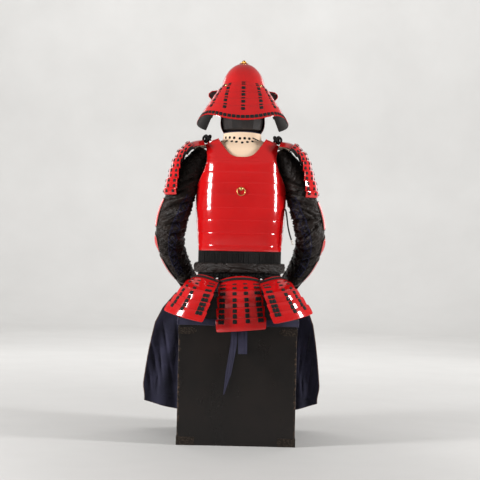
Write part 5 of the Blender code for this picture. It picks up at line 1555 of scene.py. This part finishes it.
#              across  height  lean    long   wide    depth
CREASES = {
    "left": ((0.252, 0.385, 0.10, 0.050, 0.0045, 0.0060), (0.262, 0.300, -0.06, 0.040, 0.0040, 0.0050),
             (0.276, 0.215, 0.12, 0.045, 0.0050, 0.0055), (0.300, 0.370, 0.16, 0.060, 0.0055, 0.0070),
             (0.318, 0.270, 0.10, 0.055, 0.0050, 0.0075), (0.330, 0.190, -0.05, 0.040, 0.0045, 0.0050),
             (0.350, 0.300, 0.20, 0.070, 0.0060, 0.0070), (0.366, 0.205, 0.12, 0.050, 0.0050, 0.0060),
             (0.150, 0.250, 0.05, 0.080, 0.0060, 0.0050), (0.080, 0.330, -0.04, 0.070, 0.0060, 0.0050)),
    "right": ((0.250, 0.400, 0.12, 0.050, 0.0045, 0.0060), (0.262, 0.290, 0.05, 0.050, 0.0045, 0.0060),
              (0.272, 0.190, -0.04, 0.045, 0.0045, 0.0050), (0.292, 0.360, 0.14, 0.060, 0.0050, 0.0070),
              (0.306, 0.240, 0.10, 0.060, 0.0055, 0.0070), (0.325, 0.170, 0.06, 0.045, 0.0045, 0.0050),
              (0.120, 0.230, 0.05, 0.080, 0.0060, 0.0050), (0.070, 0.350, 0.04, 0.060, 0.0060, 0.0050)),
}


def build_haidate():
    """Two navy cloth panels over the box's front edge: folds, quilting lines and a brown edging."""
    for word, side in SIDES:
        # The panel is flat on the lid and bends sharply over its front edge, so its rows are straight between
        table = np.asarray(HAIDATE_ROWS)
        run = np.concatenate([[0.0], np.cumsum(np.hypot(np.diff(table[:, 0]), np.diff(table[:, 1])))])
        at = np.unique(np.concatenate([np.linspace(0.0, run[-1], HAIDATE_STEPS), run[:6]]))
        y, z_in, z_out, x_in, x_out, back = (np.interp(at, run, table[:, k])[:, None] for k in range(6))
        x_out = np.minimum(x_out, BOX_HALF) + np.maximum(0.0, x_out - BOX_HALF) * HAIDATE_SPREAD[word]
        x_out = x_out - 0.014 * smooth(0.190 - z_out, 0.0, 0.075)
        share = np.linspace(0.0, 1.0, HAIDATE_ACROSS)[None, :]
        x = x_in + (x_out - x_in) * share
        z = z_in + (z_out - z_in) * share ** 2
        loose = smooth(0.5 - z_in, 0.0, 0.15)
        free = smooth(x, 0.20, 0.27)
        phase = 0.35 if side > 0 else 0.0
        fold = np.sin(TAU * HAIDATE_FOLDS * share * (1.0 + 0.10 * z) + phase)
        fold = HAIDATE_FOLD_DEPTH * fold * loose * free
        wave = 0.0012 * np.sin(31.0 * x + 44.0 * z + side) * np.sin(23.0 * z + 9.0 * x) * loose
        bend = back * smooth(x, 0.225, x_out + 0.001)
        pinch = sum(hump(z, height + rise * (x - 0.264), 0.0030) for height, rise in QUILT_LINES)
        puff = 0.0024 * loose * (1.0 - np.clip(pinch, 0.0, 1.0)) * (0.8 + 0.2 * np.sin(37.0 * x + 29.0 * z))
        for across, height, lean, long, wide, depth in CREASES[word]:
            fold = fold + depth * hump(z, height, long) * hump(x, across + lean * (z - height), wide) * loose
        grid = np.stack([side * x, y - bend + fold + wave + 0.006 * loose * free, z], axis=-1)
        normal = facing(grid_normals(grid), np.array([0.0, 1.0, 0.4]))
        outer, inner = grid + normal * (0.0022 + puff)[..., None], grid - normal * (0.7 * puff)[..., None]
        panel = piece("thigh_guard_cloth_" + word, shell(outer, inner), NAVY,
                      ["thigh_guard_" + word], sharp=60.0)
        middle = (outer + inner) / 2.0
        edge = np.concatenate([middle[:, -1], middle[-1, ::-1][1:]])
        edging = tube(edge, 0.0026, 8, ref=(0.0, 1.0, 0.0), flat=0.8)
        piece("thigh_guard_edging_" + word, edging, PIPING)


# Box, band and stand

BOX_WALL, BOX_HEIGHT, BOX_FLOOR = 0.008, 0.560, 0.010
LID_HALF, LID_TOP, LID_HEM = 0.230, 0.570, 0.459
FITTING = 0.0015
BELT_HEIGHT, BELT_THICK = 0.026, 0.002
#               z      left    right
TIE_SHORT_ROWS = ((0.472, 0.001, 0.034), (0.430, 0.001, 0.036), (0.353, 0.002, 0.037))
TIE_LONG_ROWS = ((0.472, -0.026, -0.002), (0.396, -0.027, -0.002), (0.353, -0.033, -0.008),
                 (0.277, -0.044, -0.022), (0.197, -0.051, -0.047))
#                 height  out, the height as a share of the belt's
BELT_PROFILE = ((0.0, 0.0004), (0.04, 0.0016), (0.16, 0.0020), (0.34, 0.0015), (0.50, 0.0021), (0.68, 0.0015),
                (0.84, 0.0020), (0.96, 0.0016), (1.0, 0.0004))
NAIL, NAIL_RISE = 0.0021, 0.0012


def square_ring(half, radius, along=14):
    """Square of a half side with rounded corners: one closed ring, four turns of the same side and corner."""
    corner = np.radians(np.linspace(0.0, 90.0, 7))
    run = np.linspace(-(half - radius), half - radius, along + 1)[:-1]
    sides = []
    for turn in range(4):
        x = np.concatenate([np.full(along, half), half - radius + radius * np.cos(corner)])
        y = np.concatenate([run, half - radius + radius * np.sin(corner)])
        cosine, sine = math.cos(turn * math.pi / 2.0), math.sin(turn * math.pi / 2.0)
        sides.append(np.stack([x * cosine - y * sine, x * sine + y * cosine], axis=1))
    return np.concatenate(sides)


def boxed(profile):
    """Closed form through rounded squares: profile rows are half side, corner radius, height and wear."""
    rings, wear = [], []
    for half, radius, z, worn in profile:
        ring = square_ring(half, radius)
        rings.append(np.column_stack([ring, np.full(len(ring), z)]))
        corner = np.minimum(np.abs(ring[:, 0]), np.abs(ring[:, 1])) > half - EDGE_WIDTH
        wear.append(np.maximum(corner * 1.0, worn))
    points = np.concatenate(rings)
    return form_of(points, lofted(len(rings), len(rings[0])), points[:, [0, 2]], np.concatenate(wear))


def build_box():
    """Rounded lacquered box and lid, the nails of its corner fittings, and the cloth band with its two ends."""
    bare = BOX_HALF - BOX_WALL
    levels = [(BOX_HALF, 0.0022, z, 0.0) for z in np.linspace(0.012, 0.550, 28)]
    levels += [(BOX_HALF - 0.0002, 0.0022, 0.5590, 1.0), (BOX_HALF - 0.0012, 0.002, BOX_HEIGHT, 1.0)]
    body = [(0.010, 0.002, 0.0, 0.0), (0.120, 0.002, 0.0, 0.0), (BOX_HALF - 0.0015, 0.002, 0.0, 1.0),
            (BOX_HALF, 0.0022, 0.0015, 1.0), (BOX_HALF, 0.0022, 0.0060, 0.0)] + levels
    body += [(bare + 0.0012, 0.002, BOX_HEIGHT, 1.0), (bare, 0.002, 0.5585, 1.0), (bare, 0.002, 0.30, 0.0),
             (bare, 0.002, BOX_FLOOR, 0.0), (0.120, 0.002, BOX_FLOOR, 0.0), (0.010, 0.002, BOX_FLOOR, 0.0)]
    piece("box_body_lacquered", boxed(body), BLACK, ["box_body"], sharp=40.0)
    within = BOX_HALF + 0.0003
    lid = [(0.010, 0.002, LID_TOP, 0.0), (0.120, 0.002, LID_TOP, 0.0), (0.200, 0.002, LID_TOP, 0.0),
           (LID_HALF - 0.0022, 0.002, LID_TOP, 0.6), (LID_HALF - 0.0006, 0.0024, LID_TOP - 0.0006, 1.0),
           (LID_HALF, 0.0024, LID_TOP - 0.0022, 1.0), (LID_HALF, 0.0024, LID_TOP - 0.0070, 0.0)]
    lid += [(LID_HALF, 0.0024, z, 0.0) for z in np.linspace(0.556, 0.466, 8)]
    lid += [(LID_HALF, 0.0024, LID_HEM + 0.0010, 1.0), (LID_HALF - 0.0010, 0.0024, LID_HEM, 1.0),
            (within + 0.0004, 0.002, LID_HEM, 1.0), (within, 0.002, LID_HEM + 0.0010, 0.0),
            (within, 0.002, BOX_HEIGHT + 0.0003, 0.0), (0.120, 0.002, BOX_HEIGHT + 0.0003, 0.0),
            (0.010, 0.002, BOX_HEIGHT + 0.0003, 0.0)]
    piece("box_lid_lacquered", boxed(lid), BLACK, ["box_lid"], sharp=40.0)

    nails = []
    face = BOX_HALF + 0.0003 + FITTING
    for high, rows in ((False, (0.0075, 0.026)), (True, (0.4375,))):
        for side_x in (-1.0, 1.0):
            for side_y in (-1.0, 1.0):
                for z in rows:
                    for run in ((0.012, 0.054) if high else (0.012, 0.060)):
                        on_y = (side_x * (BOX_HALF - run), side_y * face, z)
                        on_x = (side_x * face, side_y * (BOX_HALF - run), z)
                        nails.append(dome(on_y, (0.0, side_y, 0.0), NAIL, NAIL_RISE))
                        nails.append(dome(on_x, (side_x, 0.0, 0.0), NAIL, NAIL_RISE))
    piece("fitting_nails", joined(nails), BRONZE)
    build_band()
    build_ties()


def build_band():
    """Cloth band folded round the lid's hem, its face a little uneven and its run a little wavy."""
    middle = LID_HALF + 0.0003
    rings = []
    for tall, out in BELT_PROFILE:
        ring = square_ring(middle + out, 0.0030, 60)
        run = np.arange(len(ring)) / len(ring) * TAU
        ripple = 0.0005 * np.sin(23.0 * run + 5.0 * tall) * math.sin(math.pi * tall)
        scale = 1.0 + ripple / LID_HALF
        z = LID_HEM + BELT_HEIGHT * tall + 0.0004 * np.sin(17.0 * run)
        rings.append(np.column_stack([ring * scale[:, None], z]))
    outer = np.array(rings)
    inner = outer.copy()
    ring = square_ring(middle, 0.0030, 60)
    inner[..., 0], inner[..., 1] = ring[:, 0], ring[:, 1]
    band = shell(outer, inner, wrap=True)
    band = piece("cloth_band", band, TIE_NAVY, ["box_band"], sharp=60.0)


def build_ties():
    """The band's two hanging ends, each a thin strip with soft folds between a left and a right edge."""
    near = -(LID_HALF + BELT_THICK + 0.0006)
    for name, node, rows, size in (("tie_short_cloth", "tie_short_end", TIE_SHORT_ROWS, (0.037, 0.120)),
                                   ("tie_long_cloth", "tie_long_tail", TIE_LONG_ROWS, (0.026, 0.280))):
        table = np.array(rows)[::-1]
        z = np.linspace(rows[0][0], rows[-1][0], 61)[:, None]
        left, right = (np.interp(z, table[:, 0], table[:, k]) for k in (1, 2))
        u = np.linspace(0.0, 1.0, 21)[None, :]
        fold = 0.0012 * np.sin(math.pi * u * 2.0 + 14.0 * z) ** 2 + 0.0006 * np.sin(60.0 * z + 3.0 * u)
        face = np.stack([left + (right - left) * u, near - 0.0006 - fold + 0.0 * z, z + 0.0 * u], axis=-1)
        edge = np.minimum(1.0, np.minimum(u, 1.0 - u) / 0.12)
        thick = 0.0016 + 0.0006 * (1.0 - edge)
        strip = shell(face - (0.0, 1.0, 0.0) * thick[..., None], face)
        cloth = piece(name, strip, TIE_NAVY, [node], sharp=60.0)


def dress_cad_nodes():
    """The fittings and the stand keep their CAD shape and get their detailed finish."""
    for node in frame["record"]["subparts"]:
        name = node["node"]
        finish = BRONZE if name.startswith("fitting_") else WOOD if name == "inner_stand" else None
        if finish is not None:
            obj = bpy.data.objects[name]
            for slot in obj.material_slots:
                slot.material = finish


# Floor, lights and camera

FLOOR_FLAT, FLOOR_BEND, FLOOR_WALL, FLOOR_SIDES = 6.5, 2.0, 5.0, 96
#          location            wide  tall  power  aimed at
PANELS = (((-3.0, -1.60, 1.48), 0.72, 1.40, 140.0, (0.0, 0.0, 1.20)),
          ((3.1, -0.85, 1.48), 0.42, 1.40, 110.0, (0.0, 0.0, 1.20)),
          ((-2.3, 3.6, 1.70), 1.0, 2.2, 13.0, (0.0, 0.0, 1.10)),
          ((2.3, 3.6, 1.70), 1.0, 2.2, 13.0, (0.0, 0.0, 1.10)),
          ((0.0, 2.6, 5.2), 5.0, 1.0, 420.0, (0.0, 8.5, 1.4)))
# The camera stands straight behind the suit, its view turned a little in its own plane
CAMERA_PLACE, CAMERA_TURN = (0.0, -5.38, 0.787), 1.3
SENSOR, PICTURE, FOCAL_PIXELS = 36.0, 480.0, 1351.0


def build_studio():
    """Pale round dish of a floor, soft panels that give the lacquer its tall white strips, and the camera."""
    build_floor()
    build_lights()
    build_camera()


def build_floor():
    """Level round floor that curves up into a wall far from the armour."""
    bend = np.radians(np.linspace(0.0, 90.0, 19))
    radius = np.concatenate([[0.02, 1.0, 3.0, FLOOR_FLAT], FLOOR_FLAT + FLOOR_BEND * np.sin(bend)[1:],
                             [FLOOR_FLAT + FLOOR_BEND]])
    height = np.concatenate([[0.0, 0.0, 0.0, 0.0], FLOOR_BEND * (1.0 - np.cos(bend))[1:], [FLOOR_WALL]])
    turn = np.arange(FLOOR_SIDES)[None, :] / FLOOR_SIDES * TAU
    radius, height = radius[:, None], height[:, None]
    grid = np.stack([radius * np.cos(turn), radius * np.sin(turn), height + 0.0 * turn], axis=-1)
    points = grid.reshape(-1, 3)
    quads = np.concatenate([lattice(len(radius), FLOOR_SIDES, True), cap(0, FLOOR_SIDES, True)])[:, ::-1]
    mesh = bpy.data.meshes.new("studio_floor")
    mesh.from_pydata(points.tolist(), [], quads.tolist())
    mesh.shade_smooth()
    mat, shader = new_finish("pale_plaster_floor")
    where = object_place(mat)
    cloud = noise(mat, where, 2.2, 6.0, 0.6)
    wire(mat, shader, tint(mat, cloud, (0.560, 0.555, 0.545), (0.500, 0.495, 0.485)),
         ramp(mat, cloud, ((0.3, 0.62), (0.8, 0.78))), noise(mat, where, 40.0, 5.0), 0.06, 0.002)
    mesh.materials.append(mat)
    floor = bpy.data.objects.new("studio_floor", mesh)
    bpy.context.scene.collection.objects.link(floor)


def build_lights():
    """Even pale surroundings, a tall panel each side of the camera, two weak ones in front, one on the wall."""
    world = bpy.data.worlds.new("soft_grey")
    world.use_nodes = True
    world.node_tree.nodes["Background"].inputs["Color"].default_value = (1.0, 0.97, 0.94, 1.0)
    world.node_tree.nodes["Background"].inputs["Strength"].default_value = 0.40
    bpy.context.scene.world = world
    for number, (place, wide, tall, power, target) in enumerate(PANELS, 1):
        light = bpy.data.lights.new("soft_panel_%d" % number, "AREA")
        light.shape, light.size, light.size_y, light.energy = "RECTANGLE", wide, tall, power
        holder = bpy.data.objects.new("soft_panel_%d" % number, light)
        holder.location = place
        ahead = np.array(target) - place
        pitch = math.atan2(ahead[2], math.hypot(ahead[0], ahead[1]))
        holder.rotation_euler = (math.pi / 2.0 + pitch, 0.0, math.atan2(ahead[1], ahead[0]) - math.pi / 2.0)
        bpy.context.scene.collection.objects.link(holder)
    bpy.context.scene.view_settings.view_transform = "Standard"


def build_camera():
    """Long lens straight behind the armour."""
    lens = bpy.data.cameras.new("camera")
    lens.sensor_width, lens.lens = SENSOR, FOCAL_PIXELS / PICTURE * SENSOR
    camera = bpy.data.objects.new("camera", lens)
    camera.location = CAMERA_PLACE
    camera.rotation_euler = (math.pi / 2.0, -math.radians(CAMERA_TURN), 0.0)
    bpy.context.scene.collection.objects.link(camera)
    bpy.context.scene.camera = camera


build_studio()
build_side_cord()
build_helmet()
build_mask()
build_neck()
build_pads()
build_cuirass()
build_waist()
build_tassets()
build_sode()
build_sleeves()
build_haidate()
build_box()
dress_cad_nodes()
